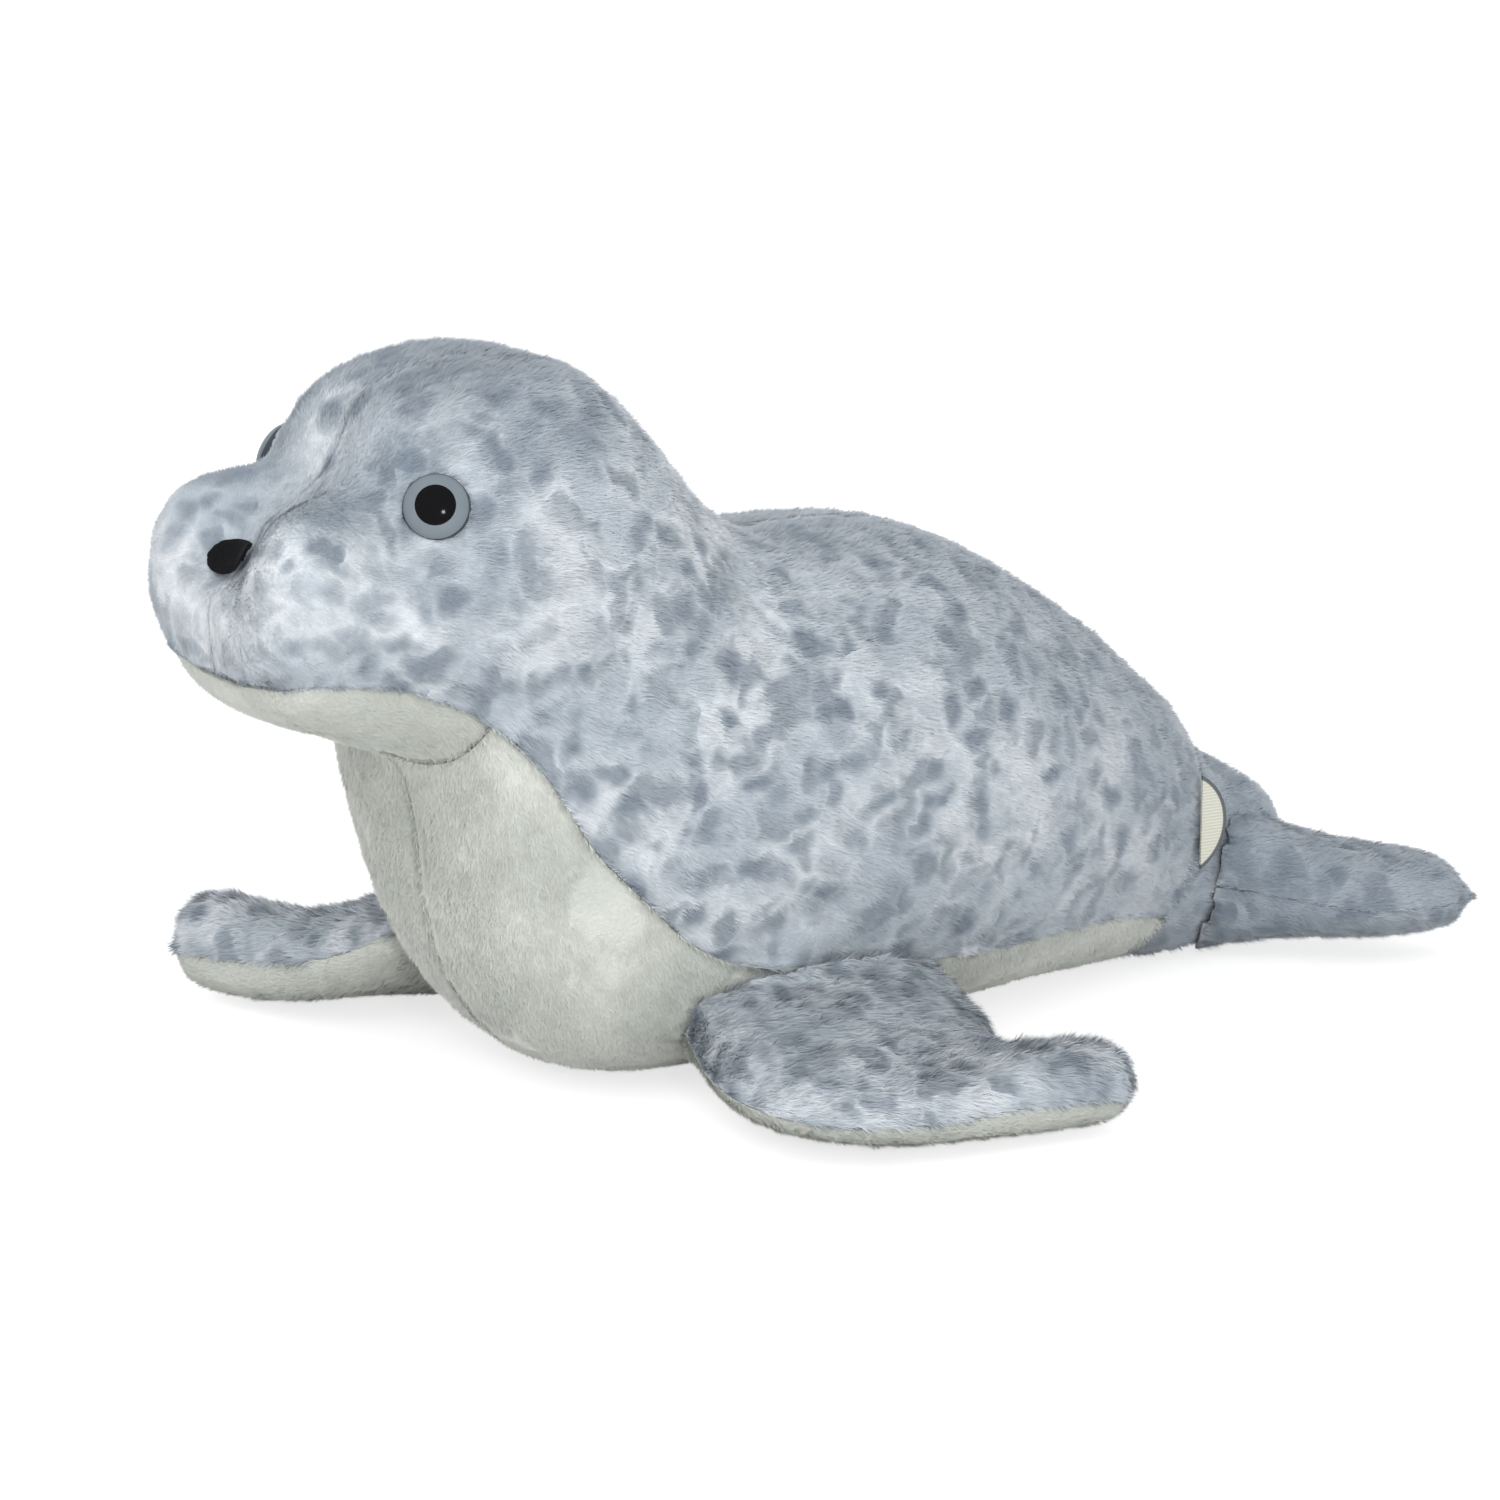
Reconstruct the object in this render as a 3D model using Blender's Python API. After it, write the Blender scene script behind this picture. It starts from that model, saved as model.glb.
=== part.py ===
"""Plush seal: printed plush panels sewn over a polyester filling.

The seal rests on its belly and looks along -Y, its left side is +X and +Z is up.
Its body is a loft of stations that fan round the throat and the nape.  Each
panel is a patch of that loft with the thickness of the cloth and its pile.
Lengths are in metres; MM turns a length in millimetres into metres.
"""

import math
from collections import namedtuple

import bmesh
import bpy
import numpy as np
from mathutils import Matrix, Vector

MM = 0.001

# Cloth, seams and clearances
SKIN = 3.0 * MM             # plush cloth with its pile
FIT = 0.3 * MM              # clearance between pieces that touch
FILLING_FIT = 0.9 * MM      # clearance of the fillings, whose facets are wider
SEAM_DIP = 1.5 * MM         # how deep a seam draws the pile in
SEAM_REACH = 6.0 * MM       # how far from a seam the dip reaches
FLOOR = 0.0                 # the belly and flippers are pressed flat here

# Safety eyes: a domed cap with a stem, held by a washer inside
EYE_DIAMETER = 16.5 * MM
EYE_DOME = 4.2 * MM
EYE_DOME_STEPS = 5
EYE_RIM = 1.4 * MM
EYE_STEM_DIAMETER = 4.0 * MM
EYE_STEM_LENGTH = 9.0 * MM
EYE_STATION = 6.43
EYE_AROUND = 0.3505         # fraction of half a turn from the top of the section
EYE_SEAT = 1.8 * MM
EYE_SOCKET = 5.0 * MM       # how deep the washer pulls the eye into the head
EYE_SOCKET_REACH = 17.0 * MM
WASHER_DIAMETER = 13.0 * MM
WASHER_THICKNESS = 1.6 * MM

# Nose: a raised patch of satin stitch
NOSE_LENGTH = 12.0 * MM
NOSE_WIDTH = 17.0 * MM
NOSE_THICKNESS = 1.0 * MM
NOSE_STATION = 1.2
NOSE_TILT = 14.0            # degrees that the stitching leans to its left side
NOSE_EDGE = 0.35            # height of its edge, as a share of its thickness
NOSE_RINGS = 4

# Label in the seam at the left hip
LABEL_HEIGHT = 27.0 * MM
LABEL_REACH = 8.0 * MM
LABEL_THICKNESS = 0.7 * MM
LABEL_CENTRE_Z = 45.0 * MM
LABEL_LEAN = 0.12           # how far it leans out for each unit of its reach
LABEL_STEPS = 12

# Mesh fineness
SIDE_COLUMNS = 10
BELLY_COLUMNS = 5
CLEFT_COLUMNS = 4           # columns beside the top seam where the filling is fine too
FLIPPER_COLUMNS = 6
FLIPPER_FILLING_COLUMNS = 6 # shares its edges' angles with the panels
ROUND_SEGMENTS = 18

# Body stations from the snout to the tail, in millimetres: top point (y, z) and
# bottom point (y, z) on the centre line, half width, squareness of the upper and
# lower half of the section (2 is an ellipse), the place of the seam between the
# printed and the cream cloth, from -1 at the bottom to 1 at the top, and how deep
# the upper and the lower centre seam pull the section in.
BODY_STATIONS = [
    (-182, 143, -182, 143, 0, 2.6, 2.6, -1.00, 4.5, 4.5),
    (-180.5, 152.5, -180.5, 133, 23.5, 2.8, 2.7, -1.00, 11.5, 2),
    (-176.5, 162.5, -177.5, 122, 34, 3.1, 2.7, -1.00, 14, 0.5),
    (-168.5, 169.5, -171.5, 112.5, 40, 3.4, 2.7, -0.59, 12, 0),
    (-157.5, 172.5, -161.5, 106.5, 42.5, 3.2, 2.5, -0.48, 9, 0),
    (-146, 175, -151, 102.5, 43.5, 2.8, 2.3, -0.46, 4, 0),
    (-140, 184.5, -144, 99.5, 46.5, 2.7, 2.2, -0.51, 2, 0),
    (-130, 194, -137, 97, 49.5, 2.6, 2.2, -0.59, 2, 0),
    (-114, 199.5, -131.5, 95.5, 52, 2.4, 2.4, -0.65, 2, 0),
    (-94, 199, -129.5, 94, 53.5, 2.3, 2.8, -0.69, 2, 0),
    (-75, 193.5, -128, 87.5, 54.5, 2.2, 3.0, -0.65, 1.5, 3.5),
    (-59, 179, -126, 77, 56, 2.1, 3.0, -0.58, 1, 4.5),
    (-46, 162, -124.5, 65, 57.5, 2.1, 2.8, -0.53, 0, 4),
    (-33, 146, -122, 51, 59.5, 2.1, 2.5, -0.48, 0, 3),
    (-23, 143, -118, 38.5, 61.5, 2.1, 2.3, -0.44, 0, 2),
    (-12, 142.5, -111, 25.5, 63, 2.1, 2.2, -0.43, 0, 1.5),
    (1, 142.5, -100, 11.5, 64.5, 2.1, 2.1, -0.45, 0, 1),
    (16, 141.5, -84.5, 2.5, 65.5, 2.1, 2.0, -0.47, 0, 0),
    (33, 137.5, -63, -1.5, 65.5, 2.1, 2.0, -0.48, 0, 0),
    (50, 130, -35, -2, 64, 2.1, 2.0, -0.49, 0, 0),
    (66, 119.5, -5, -1.5, 60, 2.1, 2.0, -0.52, 0, 0),
    (83, 107.5, 25, 0, 54, 2.1, 2.0, -0.53, 0, 0),
    (99, 95.5, 53, 1, 46.5, 2.1, 2.0, -0.50, 0, 0),
    (113, 83, 76, 1, 39, 2.1, 2.0, -0.48, 0, 0),
    (122, 74, 92, 0.5, 33, 2.1, 2.1, -0.48, 0, 0),
    (129, 64, 102, -0.5, 28.5, 2.1, 2.1, -0.50, 0, 0),
    (138, 57, 115, -1, 26, 2.1, 2.2, -0.52, 0, 0),
    (149, 52, 130, -1, 26, 2.2, 2.2, -0.52, 0, 0),
]
CLEFT_REACH = 16.0 * MM     # how wide the pulled-in centre seams are
SNOUT_DIRECTION = np.array([0.0, -1.0, 0.0])
CHIN_START = 2.2
THROAT = 9
THROAT_SPLIT = 0.05         # stations between a panel's end and the throat seam
WAIST = 25
WAIST_SPLIT = 0.02          # stations between a panel's end and the waist seam
TAIL_END = 27
TAIL_SPLIT = 0.05           # stations that the band, and again the filling, end before it
SNOUT_START = 0.12          # station of the filling's first ring
SNOUT_END = 6               # up to this station the filling is looser
SNOUT_ROOM = 0.7 * MM       # by this much

# A loft's normals are read between these stations, with steps of this size
BODY_INSIDE = (0.06, TAIL_END - 0.02)
NORMAL_STEP = 0.01
BODY_SENSE = -1
FRONT_SENSE = 1
REAR_SENSE = -1

# Up to this station a panel has a ring every half station
FINE_UNTIL = 7
ARC_STEPS = 90              # steps in which a section's arc is measured
FLIPPER_SQUARENESS = 0.9    # exponent of a flipper's section, 1 is an ellipse
MERGE = 0.002 * MM          # points closer than this are one
SHARP_ANGLE = 50.0          # degrees past which an edge is shaded sharp

# Left front flipper, in millimetres: leading edge (x, y), trailing edge (x, y),
# height of the side seam, half thickness.
FRONT_FLIPPER = [
    (36, -66, 36, 4, 24, 22),
    (53, -72, 48, 9, 22, 20.5),
    (70, -79, 60, 13, 19, 17.5),
    (86, -80, 71, 12.5, 16.5, 15.5),
    (99.5, -75.5, 79, 8, 15, 13),
    (110.5, -65.5, 84.5, 6, 13.5, 11.5),
    (117.5, -50.5, 88.5, 8.5, 13, 11),
    (121, -34, 94.5, 15.5, 13, 11),
    (123.5, -17, 102.5, 24.5, 13.5, 12),
    (126, -3, 112, 26, 13, 10.5),
    (127.5, 6.5, 120.5, 21.5, 12.5, 8),
    (127.5, 13, 127.5, 13, 12, 0),
]
FRONT_ROOT = (54, -48)
FRONT_TIP = (125, 0)
RIGHT_FRONT_TURN = 98.0     # degrees that the right front flipper is turned forward
RIGHT_ROOT_ROLL = 44.0      # degrees that its leading edge is lifted at the root
RIGHT_TIP_ROLL = -1.0       # and at the tip
RIGHT_TIP_SWELL = 1.34      # how much thicker its tip is stuffed
RIGHT_ROLL_AXIS = 14.0      # height of the roll's axis, in millimetres
RIGHT_FRONT_REACH = 6.0 * MM
RIGHT_GATHER = 0.65         # share of its root's width that the turn gathers up
RIGHT_GATHER_FROM = (62, -72)   # where the gathers start (x), and the edge that stays (y)
RIGHT_ROOT_SHIFT = 24.0     # how far the gathered root leans in towards the body

# Left rear flipper, in millimetres: centre (x, y, z), half width, half thickness.
REAR_FLIPPER = [
    (13, 128, 24.5, 13, 23),
    (19, 142, 23, 19.5, 20),
    (27, 155, 20.5, 24, 16),
    (37, 167, 18.5, 24.5, 13.5),
    (45, 179, 19, 21.5, 12.5),
    (50.5, 188.5, 18, 16, 10.5),
    (54.5, 196, 16.5, 0, 0),
]
REAR_SPREAD = 30.0          # degrees that a rear flipper turns outwards
REAR_ROOT = (10, 128)
RIGHT_REAR_TURN = -2.0      # degrees that the right rear flipper is turned outwards
RIGHT_REAR_LIFT = 2.5 * MM

# Rings of a flipper near its tip, in stations before the last one
TIP_STEPS = (0.45, 0.02)
FILLING_TIP_STEPS = (0.45, 0.15)
TIP_INSIDE = 0.06

COLOURS = {
    "printed": (0.37, 0.42, 0.47),
    "cream": (0.50, 0.51, 0.48),
    "filling": (0.85, 0.85, 0.83),
    "eye": (0.26, 0.31, 0.34),
    "washer": (0.80, 0.80, 0.78),
    "thread": (0.01, 0.01, 0.012),
    "label": (0.72, 0.72, 0.66),
}


def material(name, roughness=0.9):
    """One plain Principled material from the colour table."""
    made = bpy.data.materials.get(name)
    if made is None:
        made = bpy.data.materials.new(name)
        made.use_nodes = True
        shader = made.node_tree.nodes["Principled BSDF"]
        shader.inputs["Base Color"].default_value = (*COLOURS[name], 1.0)
        shader.inputs["Roughness"].default_value = roughness
        shader.inputs["Metallic"].default_value = 0.0
    return made


def add_object(name, points, faces, finish, roughness=0.9):
    """Link a closed mesh with its faces pointing out."""
    mesh = bpy.data.meshes.new(name)
    mesh.from_pydata([tuple(p) for p in points], [], faces)
    work = bmesh.new()
    work.from_mesh(mesh)
    bmesh.ops.remove_doubles(work, verts=work.verts, dist=MERGE)
    bmesh.ops.dissolve_degenerate(work, edges=work.edges, dist=MERGE)
    bmesh.ops.recalc_face_normals(work, faces=work.faces)
    if work.calc_volume(signed=True) < 0:
        bmesh.ops.reverse_faces(work, faces=work.faces)
    work.to_mesh(mesh)
    work.free()
    mesh.shade_smooth()
    mesh.set_sharp_from_angle(angle=math.radians(SHARP_ANGLE))
    made = bpy.data.objects.new(name, mesh)
    bpy.context.collection.objects.link(made)
    mesh.materials.append(material(finish, roughness))
    return made


def cut(target, *cutters):
    """Take each cutter out of the target with an exact Boolean."""
    for number, cutter in enumerate(cutters):
        modifier = target.modifiers.new(f"cut_{number}", "BOOLEAN")
        modifier.operation = "DIFFERENCE"
        modifier.solver = "EXACT"
        modifier.object = cutter
        cutter.hide_render = True
        cutter.display_type = "WIRE"


def smooth_curve(table, at, first_slope=None):
    """Read a smooth curve through the rows of a table at the places `at`."""
    table = np.asarray(table, float)
    slopes = np.gradient(table, axis=0)
    if first_slope is not None:
        slopes[0] = first_slope
    at = np.clip(np.atleast_1d(at), 0, len(table) - 1)
    low = np.minimum(at.astype(int), len(table) - 2)
    t = (at - low)[:, None]
    h00 = 2 * t ** 3 - 3 * t ** 2 + 1
    h10 = t ** 3 - 2 * t ** 2 + t
    h01 = -2 * t ** 3 + 3 * t ** 2
    h11 = t ** 3 - t ** 2
    return h00 * table[low] + h10 * slopes[low] + h01 * table[low + 1] + h11 * slopes[low + 1]


def power(value, exponent):
    return np.sign(value) * np.abs(value) ** exponent


def body_sections(station, around):
    """Points of the plain body loft, and how deep its centre seams are pulled in."""
    table = np.array(BODY_STATIONS, float)
    start = table[1] - table[0]
    start[0:2] = (table[1, 0:2] - table[1, 2:4]) / 2
    start[2:4] = -start[0:2]
    start[4] = table[1, 4]
    start[5:8] = 0
    start[8] = (table[1, 8] - table[1, 9]) / 2
    start[9] = -start[8]
    row = smooth_curve(table, station, start)
    along = np.cos(around)
    out = np.sin(around)
    square = np.where(along > 0, row[:, 5], row[:, 6])
    along = power(along, 2 / square)
    x = row[:, 4] * power(out, 2 / square)
    y = (row[:, 0] + row[:, 2]) / 2 + along * (row[:, 0] - row[:, 2]) / 2
    z = (row[:, 1] + row[:, 3]) / 2 + along * (row[:, 1] - row[:, 3]) / 2
    cleft = row[:, 8] * (1 + along) / 2 + row[:, 9] * (1 - along) / 2
    return np.stack([x, y, z], -1) * MM, cleft * MM


def body_surface(station, around):
    """Points of the body loft; `around` is 0 at the top, pi at the bottom."""
    station, around = np.broadcast_arrays(station, around)
    shape = station.shape
    station = station.ravel()
    around = around.ravel()
    points, cleft = body_sections(station, around)
    inner = np.clip(station, *BODY_INSIDE)
    plain = surface_normals(lambda u, v: body_sections(u, v)[0], inner, around, BODY_SENSE)
    pulled = cleft * np.exp(-(points[:, 0] / CLEFT_REACH) ** 2)
    eye = body_sections(np.array([EYE_STATION]), np.array([EYE_AROUND * math.pi]))[0][0]
    apart = np.linalg.norm(points - eye, axis=1)
    pulled = pulled + EYE_SOCKET * np.exp(-(apart / EYE_SOCKET_REACH) ** 2)
    return (points - plain * pulled[:, None]).reshape(*shape, 3)


def surface_normals(surface, u, v, sense):
    """Unit normals of a loft from small steps each way; `sense` makes them point out."""
    du = surface(u + NORMAL_STEP, v) - surface(u - NORMAL_STEP, v)
    dv = surface(u, v + NORMAL_STEP) - surface(u, v - NORMAL_STEP)
    normal = sense * np.cross(du, dv)
    return normal / np.maximum(np.linalg.norm(normal, axis=-1, keepdims=True), 1e-12)


def body_normals(station, around):
    """Outward unit normals of the body loft."""
    inner = np.clip(station, *BODY_INSIDE)
    normals = surface_normals(body_surface, inner, around, BODY_SENSE)
    return np.where((station < BODY_INSIDE[0])[..., None], SNOUT_DIRECTION, normals)


def seam_angle(station):
    """Angle around the section at which the side seam lies."""
    row = smooth_curve(BODY_STATIONS, station)[0]
    place = row[7]
    return math.acos(float(np.clip(power(place, row[6] / 2), -1, 1)))


def spread_angles(station, first, last, count, trim_first=0.0, trim_last=0.0):
    """Angles that space `count` steps evenly along the section's arc."""
    dense = np.linspace(first, last, ARC_STEPS)
    points = body_surface(np.full_like(dense, station), dense)
    length = np.concatenate([[0], np.cumsum(np.linalg.norm(np.diff(points, axis=0), axis=1))])
    total = length[-1]
    if total < trim_first + trim_last + FIT:
        return np.full(count + 1, (first + last) / 2), np.zeros(count + 1), total
    wanted = np.linspace(trim_first, total - trim_last, count + 1)
    return np.interp(wanted, length, dense), wanted, total


def rings(first, last):
    """Station values of the rings of a panel, closer together on the head."""
    values = [first]
    for whole in range(int(math.floor(first)), int(math.ceil(last))):
        parts = (0.0, 0.5) if whole < FINE_UNTIL or whole in (THROAT, WAIST) else (0.0,)
        for part in parts:
            value = whole + part
            if first + 0.1 < value < last - 0.1:
                values.append(value)
    values.append(last)
    return values


def dip(distance):
    return SEAM_DIP * np.exp(-(np.maximum(distance, 0) / SEAM_REACH) ** 2)


def closed_strip(outer, inner):
    """Vertices and faces of a panel from its outer and inner grid of points."""
    rows, columns = outer.shape[:2]
    points = np.concatenate([outer.reshape(-1, 3), inner.reshape(-1, 3)])
    offset = rows * columns
    faces = []

    def corner(i, j, side):
        return side * offset + i * columns + j

    for i in range(rows - 1):
        for j in range(columns - 1):
            for side in (0, 1):
                a, b = corner(i, j, side), corner(i + 1, j, side)
                c, d = corner(i + 1, j + 1, side), corner(i, j + 1, side)
                faces += [[a, b, c], [a, c, d]] if side == 0 else [[c, b, a], [d, c, a]]
    border = [(i, 0) for i in range(rows)]
    border += [(rows - 1, j) for j in range(1, columns)]
    border += [(i, columns - 1) for i in range(rows - 2, -1, -1)]
    border += [(0, j) for j in range(columns - 2, 0, -1)]
    for a, b in zip(border, border[1:] + border[:1]):
        faces.append([corner(*a, 0), corner(*b, 0), corner(*b, 1), corner(*a, 1)])
    return points, faces


def closed_tube(grid):
    """Vertices and faces of a solid whose rows are closed rings, with flat ends.

    The quads of its two halves are split along mirrored diagonals, as the panels' are.
    """
    rows, columns = grid.shape[:2]
    faces = []
    for i in range(rows - 1):
        for j in range(columns):
            k = (j + 1) % columns
            a, b = i * columns + j, (i + 1) * columns + j
            c, d = (i + 1) * columns + k, i * columns + k
            faces += [[a, b, c], [a, c, d]] if j < columns / 2 else [[a, b, d], [b, c, d]]
    points = list(grid.reshape(-1, 3))
    for row in (0, rows - 1):
        points.append(grid[row].mean(axis=0))
        hub = len(points) - 1
        for j in range(columns):
            faces.append([hub, row * columns + j, row * columns + (j + 1) % columns])
    return np.array(points), faces


def press(points, height):
    """Press points flat where they would sink below a height."""
    pressed = points.copy()
    pressed[..., 2] = np.maximum(pressed[..., 2], height)
    return pressed


def body_patch(name, first, last, start_angle, end_angle, count, finish,
               trims=(FIT / 2, FIT / 2), mirrored=False, dip_ends=(True, True)):
    """One sewn panel of the body loft between two stations and two angles."""
    outer_rows = []
    inner_rows = []
    values = rings(first, last)
    middles = np.array([(start_angle(station) + end_angle(station)) / 2 for station in values])
    steps = np.linalg.norm(np.diff(body_surface(np.array(values), middles), axis=0), axis=1)
    travels = np.concatenate([[0], np.cumsum(steps)])
    travelled = travels[-1]
    for station, travel in zip(values, travels):
        angles, places, total = spread_angles(station, start_angle(station), end_angle(station),
                                              count, *trims)
        line = np.full_like(angles, station)
        points = body_surface(line, angles)
        normals = body_normals(line, angles)
        edge = np.minimum(places, total - places)
        if dip_ends[0]:
            edge = np.minimum(edge, travel)
        if dip_ends[1]:
            edge = np.minimum(edge, travelled - travel)
        outer_rows.append(points - normals * dip(edge)[:, None])
        inner_rows.append(points - normals * SKIN)
    outer = press(np.array(outer_rows), FLOOR)
    inner = press(np.array(inner_rows), FLOOR + FIT)
    one_side = start_angle(first) >= 0 and end_angle(first) <= math.pi
    for grid in (outer, inner):
        if one_side:
            grid[..., 0] = np.maximum(grid[..., 0], FIT / 2)
        if mirrored:
            grid[..., 0] *= -1
    points, faces = closed_strip(outer, inner)
    return add_object(name, points, faces, finish)


def whole_body(name, offset, end, finish, column_step=1, floor=-math.inf, room=0.0):
    """The closed body loft, moved along its normals by an offset and by room in the snout."""
    rows = []
    for station in rings(SNOUT_START, end):
        inward = room * min(max(SNOUT_END - station, 0), 1)
        seam = seam_angle(station)
        side = spread_angles(station, 0, seam, SIDE_COLUMNS)[0]
        under = spread_angles(station, seam, math.pi, BELLY_COLUMNS)[0]
        angles = np.concatenate([side, under[1:]])
        last = len(angles) - 1
        kept = [k for k in range(last) if k <= CLEFT_COLUMNS or k % column_step == 0]
        angles = angles[[*kept, last]]
        line = np.full_like(angles, station)
        left = body_surface(line, angles) + body_normals(line, angles) * (offset - inward)
        left[0, 0] = 0
        left[-1, 0] = 0
        right = left[-2:0:-1] * np.array([-1, 1, 1])
        rows.append(np.concatenate([left, right]))
    return add_object(name, *closed_tube(press(np.array(rows), floor)), finish)


def turned_about(point, degrees, axis, height=0.0):
    """Rotation about an axis through a point of the plan, given in millimetres."""
    pivot = Vector((*point, height)) * MM
    rotate = Matrix.Rotation(math.radians(degrees), 4, axis)
    return Matrix.Translation(pivot) @ rotate @ Matrix.Translation(-pivot)


def gathered(point):
    """Draw the right front flipper's root together, and lean it in."""
    start, edge = (value * MM for value in RIGHT_GATHER_FROM)
    share = (start - point.x) / (start - FRONT_FLIPPER[0][0] * MM)
    share = min(max(share, 0), 1)
    narrow = 1 - RIGHT_GATHER * share
    lean = RIGHT_ROOT_SHIFT * MM * share
    return Vector((point.x, edge + (point.y - edge) * narrow - lean, point.z))


def right_front_pose(point):
    """The right front flipper is fuller, twisted and turned forward."""
    point = gathered(point)
    root = Vector((*FRONT_ROOT, RIGHT_ROLL_AXIS)) * MM
    tip = Vector((*FRONT_TIP, RIGHT_ROLL_AXIS)) * MM
    away = (tip - root).normalized()
    share = min(max((point - root).dot(away) / (tip - root).length, 0), 1)
    roll = RIGHT_ROOT_ROLL + share * (RIGHT_TIP_ROLL - RIGHT_ROOT_ROLL)
    fuller = Vector((point.x, point.y, point.z * (1 + share * (RIGHT_TIP_SWELL - 1))))
    rolled = turned_about(FRONT_TIP, -roll, away, RIGHT_ROLL_AXIS) @ fuller
    turn = turned_about(FRONT_ROOT, -RIGHT_FRONT_TURN, Vector((0, 0, 1)))
    return turn @ (rolled + away * RIGHT_FRONT_REACH)


def right_rear_pose(point):
    """The right rear flipper is lifted and turned a little."""
    turn = turned_about(REAR_ROOT, -RIGHT_REAR_TURN, Vector((0, 0, 1)))
    return turn @ (point + Vector((0, 0, RIGHT_REAR_LIFT)))


def posed(points, limb, side, inset):
    """Move a flipper's points to their pose and press them on what they touch."""
    moved = points.reshape(-1, 3).copy()
    if side < 0:
        moved = np.array([limb.right_pose(Vector(p)) for p in moved])
    moved = press(moved, FLOOR + inset)
    moved[:, 0] = np.maximum(moved[:, 0], limb.inner_x + inset)
    moved[:, 0] *= side
    return moved.reshape(points.shape)


def front_surface(u, v):
    """Front flipper loft: v is 0 at the leading edge, pi / 2 on top."""
    u, v = np.broadcast_arrays(u, v)
    row = smooth_curve(FRONT_FLIPPER, u.ravel())
    v = v.ravel()
    half = (row[:, 2:4] - row[:, 0:2]) / 2
    middle = (row[:, 2:4] + row[:, 0:2]) / 2
    plan = middle - half * power(np.cos(v), FLIPPER_SQUARENESS)[:, None]
    height = row[:, 4] + row[:, 5] * power(np.sin(v), FLIPPER_SQUARENESS)
    return np.column_stack([plan, height]).reshape(*u.shape, 3) * MM


def rear_surface(u, v):
    """Rear flipper loft: v is 0 at the inner edge, pi / 2 on top."""
    u, v = np.broadcast_arrays(u, v)
    row = smooth_curve(REAR_FLIPPER, u.ravel())
    v = v.ravel()
    turn = math.radians(REAR_SPREAD)
    reach = -row[:, 3] * power(np.cos(v), FLIPPER_SQUARENESS)
    x = row[:, 0] + reach * math.cos(turn)
    y = row[:, 1] - reach * math.sin(turn)
    z = row[:, 2] + row[:, 4] * power(np.sin(v), FLIPPER_SQUARENESS)
    return np.stack([x, y, z], -1).reshape(*u.shape, 3) * MM


Limb = namedtuple("Limb", "surface last sense right_pose inner_x")
FRONT_LIMB = Limb(front_surface, len(FRONT_FLIPPER) - 1, FRONT_SENSE, right_front_pose, -math.inf)
REAR_LIMB = Limb(rear_surface, len(REAR_FLIPPER) - 1, REAR_SENSE, right_rear_pose, FIT / 2)


def flipper_grid(limb, first_v, last_v, count, offset, tip_steps=TIP_STEPS):
    """Grid of loft points moved inwards along the loft's normals."""
    rows = []
    for station in (*range(limb.last), *(limb.last - step for step in tip_steps)):
        v = np.linspace(first_v, last_v, count + 1)
        points = limb.surface(np.full_like(v, station), v)
        inside = np.full_like(v, min(max(station, TIP_INSIDE), limb.last - TIP_INSIDE))
        rows.append(points - surface_normals(limb.surface, inside, v, limb.sense) * offset)
    return np.array(rows)


def flipper_panel(name, limb, side, top, finish):
    """Upper or lower panel of a flipper, with its root still inside the body."""
    span = (0.0, math.pi) if top else (math.pi, 2 * math.pi)
    split = FIT / 2 if top else -FIT / 2
    grids = []
    for offset, inset in ((0.0, 0.0), (SKIN, FIT)):
        grid = flipper_grid(limb, *span, FLIPPER_COLUMNS, offset)
        for column in (0, -1):
            grid[:, column, 2] += split
        grids.append(posed(grid, limb, side, inset))
    return add_object(name, *closed_strip(*grids), finish)


def flipper_filling(name, limb, side):
    """The stuffing of one flipper."""
    grid = flipper_grid(limb, 0.0, 2 * math.pi, FLIPPER_FILLING_COLUMNS, SKIN + FILLING_FIT,
                        FILLING_TIP_STEPS)
    grid = posed(grid[:, :-1], limb, side, SKIN)
    return add_object(name, *closed_tube(grid), "filling")


def turned(name, profile, placed, finish, roughness=0.9):
    """A closed turned solid from its (radius, height) outline."""
    points = []
    faces = []
    count = len(profile)
    for segment in range(ROUND_SEGMENTS):
        angle = 2 * math.pi * segment / ROUND_SEGMENTS
        for radius, height in profile:
            points.append(placed @ Vector((radius * math.cos(angle), radius * math.sin(angle), height)))
    closed = profile[0][0] > 0
    steps = count if closed else count - 1
    for segment in range(ROUND_SEGMENTS):
        after = (segment + 1) % ROUND_SEGMENTS
        for k in range(steps):
            m = (k + 1) % count
            faces.append([segment * count + k, after * count + k, after * count + m, segment * count + m])
    return add_object(name, points, faces, finish, roughness)


def eye_frame(side):
    """Origin on the head's surface and local +Z along the outward normal."""
    station = np.array([EYE_STATION])
    around = np.array([EYE_AROUND * math.pi])
    origin = Vector(body_surface(station, around)[0])
    normal = Vector(body_normals(station, around)[0])
    if side < 0:
        origin.x *= -1
        normal.x *= -1
    placed = normal.to_track_quat("Z", "Y").to_matrix().to_4x4()
    placed.translation = origin - normal * EYE_SEAT
    return placed


def eye_profile(grow=0.0):
    """Outline of the eye: stem, flat back, rim and dome; grow widens it."""
    radius = EYE_DIAMETER / 2 + grow
    stem = EYE_STEM_DIAMETER / 2 + grow
    outline = [(0, -EYE_STEM_LENGTH - grow), (stem, -EYE_STEM_LENGTH - grow), (stem, -grow),
               (radius, -grow), (radius, EYE_RIM)]
    for step in range(1, EYE_DOME_STEPS):
        angle = math.pi / 2 * step / EYE_DOME_STEPS
        outline.append((radius * math.cos(angle), EYE_RIM + (EYE_DOME + grow) * math.sin(angle)))
    outline.append((0, EYE_RIM + EYE_DOME + grow))
    return outline


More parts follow.
